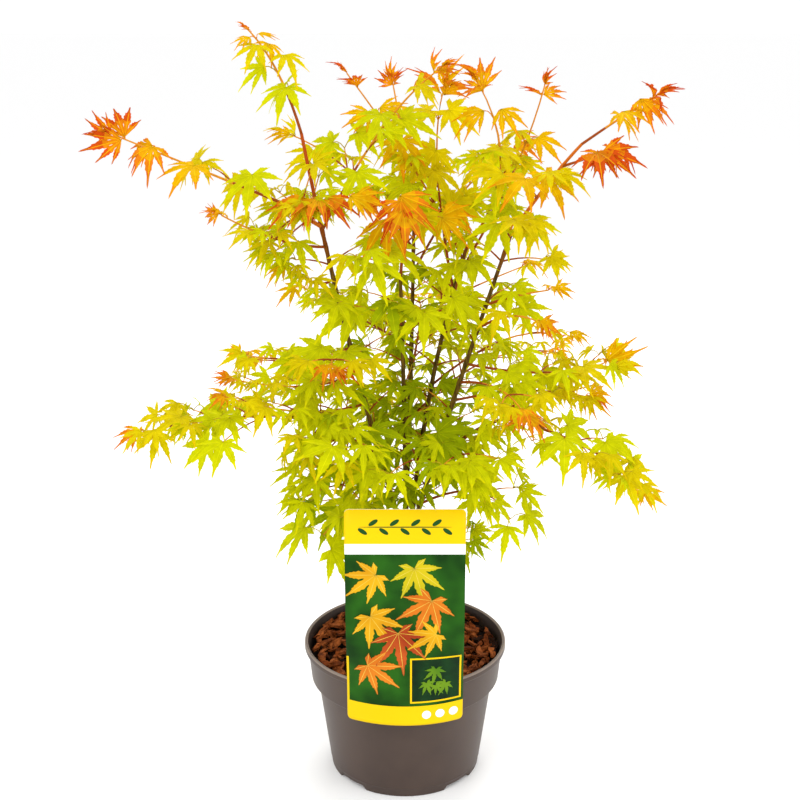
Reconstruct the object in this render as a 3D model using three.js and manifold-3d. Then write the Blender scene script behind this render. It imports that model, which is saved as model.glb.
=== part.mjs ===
// A young Japanese maple in a round nursery pot, with a bark mulch top and a label card over the rim.
// Millimetres, +Z up. The origin is the middle of the pot's flat underside. -Y is the front.
import * as THREE from "three";
import { mergeVertices } from "three/addons/utils/BufferGeometryUtils.js";
import Module from "manifold-3d";

const wasm = await Module();
wasm.setup();

// Driving sizes.
const gap = 0.3; // clear space between two pieces that touch on the real plant
const pot = { height: 128, lip: 95, collarTop: 91.7, collarFoot: 89.3, collar: 93.5, body: 83, foot: 70.8 };
const shell = { wall: 1.8, floor: 4.5, ledge: 8, ledgeReach: 0.9, bead: 6, shoulder: 3, inner: 3 };
const notch = { count: 4, width: 31, height: 3.5, depth: 9, turn: 45 };
const mulch = { height: 115, bump: 2.6, standing: 15, rings: 4, sectors: 16 };
const card = { width: 103, bottom: 92, top: 295, thickness: 0.8, across: 8, along: 5 };
const bend = { radius: 105, flatAbove: 190, fullBelow: 128 };
const hook = { width: 20, reach: 10, thickness: 1, drop: 12 };
const trunk = { foot: 10.5, waist: 6.3, top: 7.3, height: 236, lean: 2, flare: 6, swellFrom: 0.75 };
const fork = { ring: 4.55, radius: 2.45, depth: 1, cutWidth: 60, cutHeight: 20 };
const facets = { pot: 32, trunk: 10, limb: 6, twig: 3 }; // sides round each
const steps = { trunk: 7, limb: 6, twig: 3, sideTwig: 2 }; // lengths that each limb is made of

// Stems rise from the trunk's fork: turn is the place on the fork's ring in degrees from +X.
const stems = [
  { name: "left_stem", turn: 190, middle: [-50, -18, 426], tip: [-86, -20, 599], end: 1.4 },
  { name: "centre_stem", turn: 262, middle: [-1, -5, 365], tip: [-4, -8, 475], end: 1.5 },
  { name: "right_stem", turn: 334, middle: [43, -14, 366], tip: [90, -20, 515], end: 1.6 },
  { name: "right_centre_stem", turn: 46, middle: [24, 14, 372], tip: [54, 22, 495], end: 1.6 },
  { name: "back_stem", turn: 118, middle: [5, 30, 375], tip: [8, 62, 510], end: 1.5 },
];

// Boughs are the long side branches that stay bare up to the mass at their tip.
const boughs = [
  { name: "left_upper_bough", parent: "left_stem", at: 0.77, middle: [-83, -27, 530], tip: [-102, -33, 543] },
  { name: "left_lower_bough", parent: "left_stem", at: 0.2, middle: [-62, -32, 342], tip: [-104, -45, 362] },
  { name: "right_lower_bough", parent: "right_stem", at: 0.27, middle: [80, -25, 350], tip: [122, -44, 348] },
  { name: "right_leader_bough", parent: "right_stem", at: 1, middle: [121, -8, 556], tip: [150, 3, 588] },
];
const boughRadius = { foot: 1.9, end: 1.3 };

// Masses of foliage. Each grows from its parent at the fraction given, through middle to tip, with
// pairs of leaves whose lobe length and tint (1 lime to 5 scarlet) run from the first pair to the last.
// bud says how far the last pair hangs, from 0 for young leaves to 1 for grown ones.
const masses = [
  { name: "left_top", parent: "left_stem", at: 1, middle: [-106, -14, 650], tip: [-131, -10, 684],
    first: 0.02, pairs: 4, leaf: [42, 24], tint: [1, 4.3], bud: 0.1, forks: 0 },
  { name: "left_front", parent: "left_stem", at: 0.86, middle: [-75, -34, 552], tip: [-74, -44, 556],
    first: 0.4, pairs: 1, leaf: [40, 44], tint: [3.6, 4.2], bud: 1, forks: 0 },
  { name: "left_upper", parent: "left_upper_bough", at: 1, middle: [-168, -43, 572], tip: [-234, -50, 600],
    first: 0.1, pairs: 4, leaf: [40, 34], tint: [1, 5], bud: 0, forks: 0 },
  { name: "left_middle", parent: "left_stem", at: 0.72, middle: [-104, -44, 514], tip: [-148, -68, 538],
    first: 0.3, pairs: 3, leaf: [40, 20], tint: [1.2, 4], bud: 0.3, forks: 0 },
  { name: "left_short", parent: "left_stem", at: 0.64, middle: [-76, -28, 474], tip: [-92, -38, 479],
    first: 0.5, pairs: 1, leaf: [40, 36], tint: [1, 3], bud: 0.8, forks: 0 },
  { name: "left_inner", parent: "left_stem", at: 0.68, middle: [-44, -36, 498], tip: [-24, -50, 498],
    first: 0.5, pairs: 1, leaf: [42, 46], tint: [1, 1.2], bud: 1, forks: 0 },
  { name: "cross_top", parent: "left_stem", at: 0.76, middle: [-20, 6, 600], tip: [30, 0, 651],
    first: 0.22, pairs: 4, leaf: [42, 22], tint: [1, 4.4], bud: 0.1, forks: 1 },
  { name: "centre_top", parent: "right_centre_stem", at: 0.96, middle: [14, 44, 553], tip: [-50, 36, 645],
    first: 0.22, pairs: 4, leaf: [46, 16], tint: [1, 5], bud: 0, forks: 0 },
  { name: "centre_upper", parent: "right_centre_stem", at: 0.84, middle: [29, 58, 560], tip: [34, 60, 630],
    first: 0.4, pairs: 2, leaf: [38, 24], tint: [1.4, 3.6], bud: 0.2, forks: 0 },
  { name: "right_centre_top", parent: "right_centre_stem", at: 1, middle: [82, 14, 566], tip: [60, -6, 640],
    first: 0.25, pairs: 4, leaf: [42, 15], tint: [1, 5], bud: 0, forks: 0 },
  { name: "right_centre_long", parent: "right_centre_stem", at: 0.9, middle: [93, 32, 556],
    tip: [118, 12, 636], first: 0.3, pairs: 3, leaf: [44, 20], tint: [1, 4.5], bud: 0.1, forks: 1 },
  { name: "right_leader", parent: "right_leader_bough", at: 1, middle: [183, 11, 609], tip: [212, 5, 628],
    first: 0.1, pairs: 3, leaf: [34, 24], tint: [2.6, 5], bud: 0.1, forks: 0 },
  { name: "right_leader_red", parent: "right_leader_bough", at: 0.8, middle: [163, -14, 586],
    tip: [180, -24, 584], first: 0.5, pairs: 1, leaf: [32, 34], tint: [4.4, 5], bud: 0.8, forks: 0 },
  { name: "right_leader_low", parent: "right_leader_bough", at: 0.35, middle: [112, -30, 558],
    tip: [122, -44, 564], first: 0.5, pairs: 1, leaf: [42, 40], tint: [2, 2.6], bud: 0.8, forks: 0 },
  { name: "right_upper_front", parent: "right_stem", at: 0.95, middle: [108, -40, 528], tip: [128, -58, 536],
    first: 0.3, pairs: 2, leaf: [44, 40], tint: [1, 1.8], bud: 0.8, forks: 0 },
  { name: "centre_front", parent: "centre_stem", at: 1, middle: [-2, -24, 520], tip: [-1, -44, 552],
    first: 0.1, pairs: 2, leaf: [42, 46], tint: [1.4, 5], bud: 0.9, forks: 0 },
  { name: "centre_left", parent: "centre_stem", at: 0.8, middle: [-17, -28, 444], tip: [-29, -46, 451],
    first: 0.5, pairs: 1, leaf: [44, 46], tint: [1, 1], bud: 1, forks: 0 },
  { name: "centre_right", parent: "centre_stem", at: 0.74, middle: [13, -26, 440], tip: [25, -46, 451],
    first: 0.5, pairs: 1, leaf: [42, 44], tint: [1, 1.2], bud: 1, forks: 0 },
  { name: "inner_right", parent: "right_centre_stem", at: 0.72, middle: [43, 0, 458], tip: [47, -20, 484],
    first: 0.5, pairs: 1, leaf: [42, 40], tint: [1, 1.3], bud: 1, forks: 0 },
  { name: "right_waist_upper", parent: "right_stem", at: 0.8, middle: [102, -33, 472], tip: [132, -46, 482],
    first: 0.45, pairs: 2, leaf: [34, 26], tint: [1, 2.8], bud: 0.4, forks: 0 },
  { name: "right_waist_lower", parent: "right_stem", at: 0.73, middle: [88, -48, 450], tip: [110, -64, 449],
    first: 0.5, pairs: 1, leaf: [36, 30], tint: [1.6, 3.6], bud: 0.6, forks: 0 },
  { name: "left_tier_upper", parent: "left_stem", at: 0.41, middle: [-85, -38, 408], tip: [-146, -62, 424],
    first: 0.25, pairs: 3, leaf: [42, 22], tint: [1, 4.2], bud: 0.3, forks: 1 },
  { name: "left_tier_middle", parent: "left_stem", at: 0.33, middle: [-88, -54, 384], tip: [-150, -90, 396],
    first: 0.35, pairs: 3, leaf: [42, 20], tint: [1, 3.8], bud: 0.3, forks: 0 },
  { name: "left_tier_front", parent: "left_stem", at: 0.47, middle: [-56, -48, 414], tip: [-58, -76, 412],
    first: 0.4, pairs: 2, leaf: [42, 24], tint: [1, 5], bud: 0.6, forks: 0 },
  { name: "left_lower", parent: "left_lower_bough", at: 1, middle: [-166, -46, 365], tip: [-226, -46, 352],
    first: 0.1, pairs: 4, leaf: [46, 34], tint: [1, 4.2], bud: 0.6, forks: 1 },
  { name: "left_under", parent: "left_stem", at: 0.16, middle: [-50, -36, 302], tip: [-82, -52, 292],
    first: 0.4, pairs: 2, leaf: [44, 42], tint: [1, 1], bud: 1, forks: 0 },
  { name: "bottom_left", parent: "left_stem", at: 0.09, middle: [-38, -30, 280], tip: [-66, -54, 264],
    first: 0.6, pairs: 1, leaf: [44, 46], tint: [1, 1], bud: 1, forks: 0 },
  { name: "left_front_low", parent: "left_stem", at: 0.27, middle: [-40, -50, 350], tip: [-50, -84, 342],
    first: 0.4, pairs: 2, leaf: [46, 44], tint: [1, 1.2], bud: 1, forks: 0 },
  { name: "front_low", parent: "centre_stem", at: 0.34, middle: [7, -44, 336], tip: [18, -82, 330],
    first: 0.4, pairs: 2, leaf: [44, 46], tint: [1, 1], bud: 1, forks: 0 },
  { name: "right_front_low", parent: "right_stem", at: 0.3, middle: [46, -42, 332], tip: [58, -74, 326],
    first: 0.5, pairs: 2, leaf: [42, 44], tint: [1, 1], bud: 1, forks: 0 },
  { name: "right_tier_upper", parent: "right_stem", at: 0.62, middle: [122, -12, 400], tip: [188, -6, 406],
    first: 0.25, pairs: 4, leaf: [44, 32], tint: [1, 3.6], bud: 0.5, forks: 1 },
  { name: "right_tier_middle", parent: "right_stem", at: 0.5, middle: [110, 16, 366], tip: [176, 12, 360],
    first: 0.3, pairs: 3, leaf: [44, 28], tint: [1, 4], bud: 0.5, forks: 1 },
  { name: "right_tier_front", parent: "right_stem", at: 0.56, middle: [78, -50, 388], tip: [98, -80, 376],
    first: 0.4, pairs: 2, leaf: [42, 40], tint: [1.4, 4.2], bud: 0.8, forks: 0 },
  { name: "right_lower", parent: "right_lower_bough", at: 1, middle: [164, -58, 332], tip: [204, -66, 310],
    first: 0.1, pairs: 4, leaf: [46, 40], tint: [1, 2.6], bud: 0.7, forks: 1 },
  { name: "bottom_right", parent: "right_stem", at: 0.12, middle: [62, -46, 292], tip: [90, -68, 276],
    first: 0.6, pairs: 1, leaf: [40, 42], tint: [1, 1], bud: 1, forks: 0 },
  { name: "low_shoot", parent: "trunk", at: 0.86, middle: [38, -12, 240], tip: [64, -20, 236],
    first: 1, pairs: 1, leaf: [36, 36], tint: [1, 1], bud: 1, forks: 0 },
  { name: "left_rear", parent: "left_stem", at: 0.45, middle: [-92, 26, 402], tip: [-150, 66, 404],
    first: 0.4, pairs: 2, leaf: [44, 34], tint: [1, 2.8], bud: 0.6, forks: 0 },
  { name: "right_rear", parent: "right_centre_stem", at: 0.5, middle: [92, 56, 404], tip: [150, 84, 400],
    first: 0.4, pairs: 2, leaf: [44, 34], tint: [1, 3], bud: 0.6, forks: 0 },
  { name: "back_left_low", parent: "back_stem", at: 0.3, middle: [-70, 96, 352], tip: [-142, 150, 360],
    first: 0.3, pairs: 3, leaf: [46, 34], tint: [1, 3.4], bud: 0.6, forks: 1 },
  { name: "back_right_low", parent: "back_stem", at: 0.36, middle: [76, 96, 372], tip: [146, 150, 366],
    first: 0.3, pairs: 3, leaf: [46, 32], tint: [1, 3.4], bud: 0.6, forks: 1 },
  { name: "back_low", parent: "back_stem", at: 0.22, middle: [-4, 80, 322], tip: [-14, 140, 318],
    first: 0.4, pairs: 2, leaf: [46, 42], tint: [1, 1.6], bud: 1, forks: 0 },
  { name: "back_left_middle", parent: "back_stem", at: 0.6, middle: [-44, 88, 424], tip: [-96, 128, 446],
    first: 0.35, pairs: 2, leaf: [42, 32], tint: [1, 2.6], bud: 0.6, forks: 0 },
  { name: "back_right_middle", parent: "back_stem", at: 0.7, middle: [60, 84, 446], tip: [112, 112, 462],
    first: 0.35, pairs: 2, leaf: [42, 32], tint: [1, 2.8], bud: 0.6, forks: 0 },
  { name: "back_middle", parent: "back_stem", at: 0.5, middle: [14, 100, 410], tip: [14, 158, 420],
    first: 0.35, pairs: 3, leaf: [44, 34], tint: [1, 2.4], bud: 0.6, forks: 0 },
  { name: "back_top", parent: "back_stem", at: 1, middle: [-2, 100, 580], tip: [-12, 122, 636],
    first: 0.2, pairs: 3, leaf: [42, 20], tint: [1, 4.6], bud: 0.1, forks: 0 },
  { name: "back_left_top", parent: "back_stem", at: 0.92, middle: [-48, 92, 552], tip: [-110, 112, 588],
    first: 0.3, pairs: 3, leaf: [42, 26], tint: [1, 4.2], bud: 0.2, forks: 0 },
  { name: "back_right_top", parent: "back_stem", at: 0.84, middle: [58, 98, 540], tip: [108, 116, 576],
    first: 0.35, pairs: 3, leaf: [42, 26], tint: [1, 4], bud: 0.2, forks: 0 },
];
const twig = { foot: 1.5, end: 1, sideFoot: 1.2, sideEnd: 1 };
const blade = { halfThickness: 0.7, droop: 0.24, smallBelow: 45, shortest: 12, clearance: 0.45 };

// A stalk's length is a share of its leaf's lobe, from the least to the most.
const petiole = { radius: 0.6, root: 0.4, least: 0.42, most: 0.72 };

// How leaves sit on a shoot: angles in degrees, the rest as shares. The leaves of masses whose tip
// lies further back than faceBackBeyond turn to the back.
const habit = {
  least: 0.92, most: 1.08, swing: 36, turn: 50, roll: 24, young: 2, grown: 36, pitchSpread: 22, hangFirst: 1.3,
  along: 0.45, rise: 0.3, outward: 0.8, face: 0.7, faceBackBeyond: 70, crowding: 1.3, tipLeaf: 0.8,
};

// A leaf that would touch another is tried again, a little shorter and turned a step further.
const retry = { tries: 5, shrink: 0.06, swing: 24, pitch: 5 };
const sideShoot = { least: 0.8, most: 1.2, along: 0.8, rise: 0.15, bow: 0.06, leaf: 0.9 };
const seedStep = { mass: 50, tip: 40, side: 0.1 };

// Half of each blade's outline, from the middle lobe round to the stalk: degrees and share of the lobe.
const sevenLobes = [
  [0, 1], [19, 0.32], [40, 0.92], [60, 0.28], [80, 0.72], [103, 0.2], [127, 0.38], [180, 0.06],
];
const fiveLobes = [[0, 1], [19, 0.3], [38, 0.86], [60, 0.24], [84, 0.6], [180, 0.06]];

const up = new THREE.Vector3(0, 0, 1);
const degrees = Math.PI / 180;
const mix = (a, b, share) => a + (b - a) * share;

// A fixed number from 0 to 1 for each seed and draw, so the plant grows the same each time.
function chance(seed, draw) {
  const wave = Math.sin(seed * 12.9898 + draw * 78.233) * 43758.5453;
  return wave - Math.floor(wave);
}

function bareGeometry(geometry) {
  const bare = geometry.clone();
  bare.deleteAttribute("normal");
  bare.deleteAttribute("uv");
  return mergeVertices(bare, 1e-4);
}

function solidOf(geometry) {
  const bare = bareGeometry(geometry);
  return new wasm.Manifold(
    new wasm.Mesh({
      numProp: 3,
      vertProperties: bare.attributes.position.array,
      triVerts: new Uint32Array(bare.index.array),
    }),
  );
}

// The largest body of a solid as a geometry: a scrap that a cut leaves loose is dropped.
function geometryOf(solid) {
  const bodies = solid.decompose();
  const largest = bodies.reduce((a, b) => (b.volume() > a.volume() ? b : a));
  const mesh = largest.getMesh();
  const geometry = new THREE.BufferGeometry();
  geometry.setAttribute("position", new THREE.BufferAttribute(new Float32Array(mesh.vertProperties), 3));
  geometry.setIndex(new THREE.BufferAttribute(new Uint32Array(mesh.triVerts), 1));
  geometry.computeVertexNormals();
  return geometry;
}

const maple = new THREE.Group();

function addMesh(name, geometry, color, roughness) {
  const material = new THREE.MeshStandardMaterial({ color, roughness, metalness: 0 });
  const mesh = new THREE.Mesh(geometry, material);
  mesh.name = name;
  maple.add(mesh);
  return mesh;
}

// A profile of radius and height turned round the Z axis.
function turned(profile, sides) {
  const points = profile.map(([radius, height]) => new THREE.Vector2(radius, height));
  return new THREE.LatheGeometry(points, sides).rotateX(Math.PI / 2);
}

// The pot's cavity from its floor up to the foot of the collar's slope, drawn in by some spare room.
function cavityProfile(spare) {
  const side = shell.wall + spare;
  return [
    [0, shell.floor + spare],
    [pot.foot - shell.inner - spare, shell.floor + spare],
    [pot.foot + shell.ledgeReach - side, shell.ledge + spare],
    [pot.body - side, pot.collar - 1 + spare],
    [pot.collarFoot - side, pot.collar + 1.5 + 2 * spare],
  ];
}

function potProfile() {
  const beadFoot = pot.height - shell.bead;
  return [
    [0, 0],
    [pot.foot - 2, 0],
    [pot.foot, 1.5],
    [pot.foot + shell.ledgeReach, shell.ledge],
    [pot.body, pot.collar - shell.shoulder],
    [pot.collarFoot - 1, pot.collar - 1],
    [pot.collarFoot, pot.collar],
    [pot.collarTop, beadFoot - 1],
    [pot.lip, beadFoot],
    [pot.lip, pot.height - 1],
    [pot.lip - 1, pot.height],
    [pot.lip - 2.4, pot.height],
    [pot.collarTop - shell.wall, beadFoot - 1],
    ...cavityProfile(0).reverse(),
  ];
}

// The pot is a moulded shell with a rolled lip, a deep collar and drain notches under its foot.
function potGeometry() {
  let moulded = solidOf(turned(potProfile(), facets.pot));
  for (let k = 0; k < notch.count; k++) {
    const cutter = new THREE.BoxGeometry(notch.depth, notch.width, 2 * notch.height);
    cutter.translate(pot.foot, 0, 0);
    cutter.rotateZ((notch.turn + (360 * k) / notch.count) * degrees);
    moulded = moulded.subtract(solidOf(cutter));
  }
  return geometryOf(moulded);
}

// Soil and bark fill the pot: the top is bumpy, and flat where the trunk stands.
function fillGeometry() {
  const topRadius = mix(pot.collarFoot, pot.collarTop, 0.7) - shell.wall - gap;
  const top = [];
  for (let ring = 0; ring <= mulch.rings; ring++) {
    top.push([mix(topRadius, mulch.standing, ring / mulch.rings), mulch.height]);
  }
  const profile = [...cavityProfile(gap), ...top, [0, mulch.height]];
  const geometry = bareGeometry(turned(profile, mulch.sectors));
  const position = geometry.attributes.position;
  for (let i = 0; i < position.count; i++) {
    const radius = Math.hypot(position.getX(i), position.getY(i));
    const onTop = position.getZ(i) > mulch.height - 0.01;
    if (onTop && radius > mulch.standing + 1) {
      position.setZ(i, mulch.height + mulch.bump * (2 * chance(i, 5) - 1));
    }
  }
  return geometryOf(solidOf(geometry));
}

// How far the card is pushed back at a place on it, where it follows the round of the pot.
function cardBend(x, z) {
  const share = THREE.MathUtils.smoothstep(bend.flatAbove - z, 0, bend.flatAbove - bend.fullBelow);
  return share * (bend.radius - Math.sqrt(bend.radius ** 2 - x ** 2));
}

// The card stands against the lip, and a hook on its back reaches over the rim.
function cardGeometry() {
  const height = card.top - card.bottom;
  const face = -pot.lip - gap - card.thickness / 2;
  const sheet = new THREE.BoxGeometry(card.width, card.thickness, height, card.across, 1, card.along);
  sheet.translate(0, face, card.bottom + height / 2);
  const position = sheet.attributes.position;
  for (let i = 0; i < position.count; i++) {
    position.setY(i, position.getY(i) + cardBend(position.getX(i), position.getZ(i)));
  }
  const rest = pot.height + gap;
  const shelf = new THREE.BoxGeometry(hook.width, hook.reach, hook.thickness);
  shelf.translate(0, face + hook.reach / 2, rest + hook.thickness / 2);
  const tongue = new THREE.BoxGeometry(hook.width, hook.thickness, hook.drop);
  tongue.translate(0, face + hook.reach - hook.thickness / 2, rest + hook.thickness - hook.drop / 2);
  return geometryOf(solidOf(sheet).add(solidOf(shelf)).add(solidOf(tongue)));
}

const vector = ([x, y, z]) => new THREE.Vector3(x, y, z);

// The curve from start to tip that passes through the middle point.
function arch(start, middle, tip) {
  const control = middle.clone().multiplyScalar(2);
  control.addScaledVector(start, -0.5).addScaledVector(tip, -0.5);
  return new THREE.QuadraticBezierCurve3(start, control, tip);
}

// Two directions across a limb that runs along the tangent.
function across(tangent) {
  const side = new THREE.Vector3().crossVectors(tangent, up);
  const nearlyUpright = side.length() < 0.2;
  if (nearlyUpright) side.set(1, 0, 0);
  side.normalize();
  const lift = new THREE.Vector3().crossVectors(side, tangent).normalize();
  side.crossVectors(tangent, lift);
  return { side, lift };
}

// A closed tapering limb along the curve; radiusAt gives the radius at each share of its length.
// With spare room it stands that much proud of the limb all over, its ends too.
function limbGeometry(limb, spare) {
  const { curve, radiusAt } = limb;
  const geometry = new THREE.CylinderGeometry(1, 1, 1, limb.sides, limb.steps);
  const position = geometry.attributes.position;
  for (let i = 0; i < position.count; i++) {
    const share = position.getY(i) + 0.5;
    const tangent = curve.getTangent(share);
    const { side, lift } = across(tangent);
    const place = curve.getPoint(share);
    const radius = radiusAt(share) + spare;
    place.addScaledVector(side, position.getX(i) * radius);
    place.addScaledVector(lift, position.getZ(i) * radius);
    place.addScaledVector(tangent, share === 1 ? spare : share === 0 ? -spare : 0);
    position.setXYZ(i, place.x, place.y, place.z);
  }
  return geometry;
}

// The point at a share of a limb, on the straight stretch between two of its rings.
function axisPoint(limb, share) {
  const ring = Math.min(Math.floor(share * limb.steps), limb.steps - 1);
  const start = limb.curve.getPoint(ring / limb.steps);
  return start.lerp(limb.curve.getPoint((ring + 1) / limb.steps), share * limb.steps - ring);
}

const limbs = new Map(); // every limb that masses and boughs can grow from
const spaces = []; // what is already taken, each with the mass it belongs to

function takeSpace(owner, solid) {
  spaces.push({ owner, solid, box: solid.boundingBox() });
}

function addToMass(mass, solid) {
  takeSpace(mass.name, solid);
  mass.solids.push(solid);
}

function boxesMeet(a, b) {
  return [0, 1, 2].every((i) => a.min[i] <= b.max[i] && b.min[i] <= a.max[i]);
}

// True where a solid touches nothing that the filter lets through.
function isFree(solid, counts) {
  const box = solid.boundingBox();
  const near = spaces.filter((space) => counts(space) && boxesMeet(space.box, box));
  return near.every((space) => space.solid.intersect(solid).isEmpty());
}

// A limb is cut clear of its parent, which leaves its foot 0.3 mm off the parent's bark.
function growLimb(name, limb, parent) {
  const whole = solidOf(limbGeometry(limb, 0));
  const solid = parent ? whole.subtract(parent.sleeve) : whole;
  limbs.set(name, { ...limb, sleeve: solidOf(limbGeometry(limb, gap)) });
  takeSpace(name, solid);
  return geometryOf(solid);
}

// The trunk: a flat cut at the bark, a flare, a slight lean and a swelling where the stems fork.
function trunkRadius(share) {
  const flare = (trunk.foot - trunk.waist) * (1 - share) ** trunk.flare;
  const swelling = (trunk.top - trunk.waist) * THREE.MathUtils.smoothstep(share, trunk.swellFrom, 1);
  return trunk.waist + flare + swelling;
}

function growTrunk() {
  const start = new THREE.Vector3(0, 0, mulch.height + gap);
  const top = new THREE.Vector3(trunk.lean, 0, trunk.height);
  const middle = new THREE.Vector3(-trunk.lean / 2, trunk.lean / 2, (start.z + top.z) / 2);
  const curve = arch(start, middle, top);
  const limb = { curve, radiusAt: trunkRadius, sides: facets.trunk, steps: steps.trunk };
  const geometry = growLimb("trunk", limb, null);
  flattenEnds(geometry, start.z, top.z);
  addMesh("trunk", geometry, "#5d4a24", 0.8);
}

// The cuts across the trunk's foot and fork are level.
function flattenEnds(geometry, low, high) {
  const position = geometry.attributes.position;
  const step = (high - low) / (3 * steps.trunk);
  for (let i = 0; i < position.count; i++) {
    if (position.getZ(i) < low + step) position.setZ(i, low);
    if (position.getZ(i) > high - step) position.setZ(i, high);
  }
}

function growStems() {
  stems.forEach((row) => {
    const start = new THREE.Vector3(Math.cos(row.turn * degrees), Math.sin(row.turn * degrees), 0);
    start.multiplyScalar(fork.ring).add(new THREE.Vector3(trunk.lean, 0, trunk.height - fork.depth));
    const curve = arch(start, vector(row.middle), vector(row.tip));
    const radiusAt = (share) => mix(fork.radius, row.end, share);
    const limb = { curve, radiusAt, sides: facets.limb, steps: steps.limb };
    const geometry = growLimb(row.name, limb, null);
    const cut = new THREE.BoxGeometry(fork.cutWidth, fork.cutWidth, fork.cutHeight);
    cut.translate(trunk.lean, 0, trunk.height + gap - fork.cutHeight / 2);
    addMesh(row.name, geometryOf(solidOf(geometry).subtract(solidOf(cut))), "#6b4a1c", 0.75);
  });
}

function growBoughs() {
  boughs.forEach((row) => {
    const parent = limbs.get(row.parent);
    const curve = arch(axisPoint(parent, row.at), vector(row.middle), vector(row.tip));
    const foot = row.at === 1 ? parent.radiusAt(1) : boughRadius.foot;
    const radiusAt = (share) => mix(foot, boughRadius.end, share);
    const limb = { curve, radiusAt, sides: facets.limb, steps: steps.twig };
    addMesh(row.name, growLimb(row.name, limb, parent), "#8a3c14", 0.7);
  });
}

// The blade's outline ring in its own frame: X across, Y towards the middle lobe, Z off the face.
function bladeRing(length, extra) {
  const half = length < blade.smallBelow ? fiveLobes : sevenLobes;
  const left = half.slice(1, -1).reverse().map(([angle, reach]) => [-angle, reach]);
  return [...left, ...half].map(([angle, reach]) => {
    const radius = reach * length + extra;
    const turn = angle * degrees;
    const z = -blade.droop * reach ** 2 * length;
    return { angle, x: radius * Math.sin(turn), y: radius * Math.cos(turn), z };
  });
}

// The crown of a blade's face and the ring round it, in the plant's frame, and a point under the crown.
function bladePoints(leaf, extra) {
  const toPlant = (x, y, z) => {
    const place = leaf.base.clone().addScaledVector(leaf.side, x);
    return place.addScaledVector(leaf.forward, y).addScaledVector(leaf.normal, z);
  };
  const crown = toPlant(0, 0, blade.halfThickness + extra);
  const under = toPlant(0, 0, -blade.halfThickness - extra);
  const ring = bladeRing(leaf.length, extra);
  return { under, ring, points: [crown, ...ring.map((p) => toPlant(p.x, p.y, p.z))] };
}

// A blade with no stalk: two shallow cones on one lobed ring.
function bladeGeometry(leaf, extra) {
  const { under, ring, points } = bladePoints(leaf, extra);
  const faces = ring.flatMap((_, i) => {
    const here = 1 + i;
    const next = 1 + ((i + 1) % ring.length);
    return [0, next, here, points.length, here, next];
  });
  const geometry = new THREE.BufferGeometry().setFromPoints([...points, under]);
  geometry.setIndex(faces);
  return geometry;
}

// One leaf as a closed solid: a thin two-sided cone over the lobed ring, with a three-sided stalk
// that runs from under the blade to its root inside the twig.
function leafGeometry(leaf, extra) {
  const { under, ring, points } = bladePoints(leaf, extra);
  const stalk = leaf.root.clone().sub(leaf.base).normalize();
  const first = leaf.forward.clone().addScaledVector(stalk, -leaf.forward.dot(stalk)).normalize();
  const second = new THREE.Vector3().crossVectors(stalk, first);
  const collar = (centre, radius) =>
    [0, 120, -120].map((angle) => {
      const point = centre.clone().addScaledVector(first, (radius + extra) * Math.cos(angle * degrees));
      return point.addScaledVector(second, (radius + extra) * Math.sin(angle * degrees));
    });
  const collars = [...collar(under, petiole.radius), ...collar(leaf.root, petiole.root)];
  const geometry = new THREE.BufferGeometry().setFromPoints([...points, ...collars]);
  geometry.setIndex(leafFaces(ring));
  return geometry;
}

// Faces of a leaf: point 0 is the crown of the face, then the ring, the stalk's collar and its root.
function leafFaces(ring) {
  const faces = [];
  const foot = (index) => 1 + ring.length + index;
  const sector = (angle) => (Math.abs(angle) <= 60 ? 0 : angle > 0 ? 1 : 2);
  const edgeSector = ring.map((point, i) => {
    const next = ring[(i + 1) % ring.length].angle;
    return sector(i === ring.length - 1 ? -150 : (point.angle + next) / 2);
  });
  ring.forEach((point, i) => {
    const here = 1 + i;
    const next = 1 + ((i + 1) % ring.length);
    const before = edgeSector[(i + ring.length - 1) % ring.length];
    faces.push(0, next, here, foot(edgeSector[i]), here, next);
    if (before !== edgeSector[i]) faces.push(foot(before), here, foot(edgeSector[i]));
  });
  [[2, 0], [0, 1], [1, 2]].forEach(([k, m]) => {
    faces.push(foot(k), foot(m), foot(m) + 3, foot(k), foot(m) + 3, foot(k) + 3);
  });
  faces.push(foot(2) + 3, foot(0) + 3, foot(1) + 3);
  return faces;
}

// How a leaf hangs: the stalk leaves the twig sideways and up, and the blade turns out and down.
function poseLeaf(spot, seed, attempt) {
  const length = spot.length * mix(habit.least, habit.most, chance(seed, 1)) * (1 - retry.shrink * attempt);
  const swing = habit.swing * (chance(seed, 2) - 0.5) + retry.swing * attempt * (attempt % 2 ? 1 : -1);
  const hang = mix(habit.young, habit.grown, spot.age) + habit.pitchSpread * chance(seed, 3);
  const pitch = (hang + retry.pitch * (attempt % 3)) * degrees;
  const roll = habit.roll * (chance(seed, 4) - 0.5) * degrees;
  const stalk = spot.outward.clone().addScaledVector(spot.tangent, habit.along);
  stalk.addScaledVector(up, habit.rise).normalize();
  const heading = spot.outward.clone().multiplyScalar(habit.outward);
  heading.addScaledVector(spot.tangent, habit.along).add(spot.facing);
  heading.setZ(0).normalize().applyAxisAngle(up, swing * degrees);
  const forward = heading.multiplyScalar(Math.cos(pitch)).addScaledVector(up, -Math.sin(pitch));
  const normal = up.clone().addScaledVector(forward, -up.dot(forward)).normalize();
  normal.applyAxisAngle(forward, roll);
  const side = new THREE.Vector3().crossVectors(forward, normal);
  const reach = length * mix(petiole.least, petiole.most, chance(seed, 5));
  const base = spot.place.clone().addScaledVector(stalk, reach);
  return { length, base, root: spot.place, forward, normal, side };
}

// True where a leaf is clear of other masses and limbs, and its blade of its own mass too.
function leafFits(mass, leaf) {
  const others = (space) => space.owner !== mass.name;
  const own = (space) => space.owner === mass.name;
  if (!isFree(solidOf(leafGeometry(leaf, blade.clearance)), others)) return false;
  return isFree(solidOf(bladeGeometry(leaf, blade.clearance)), own);
}

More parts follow.
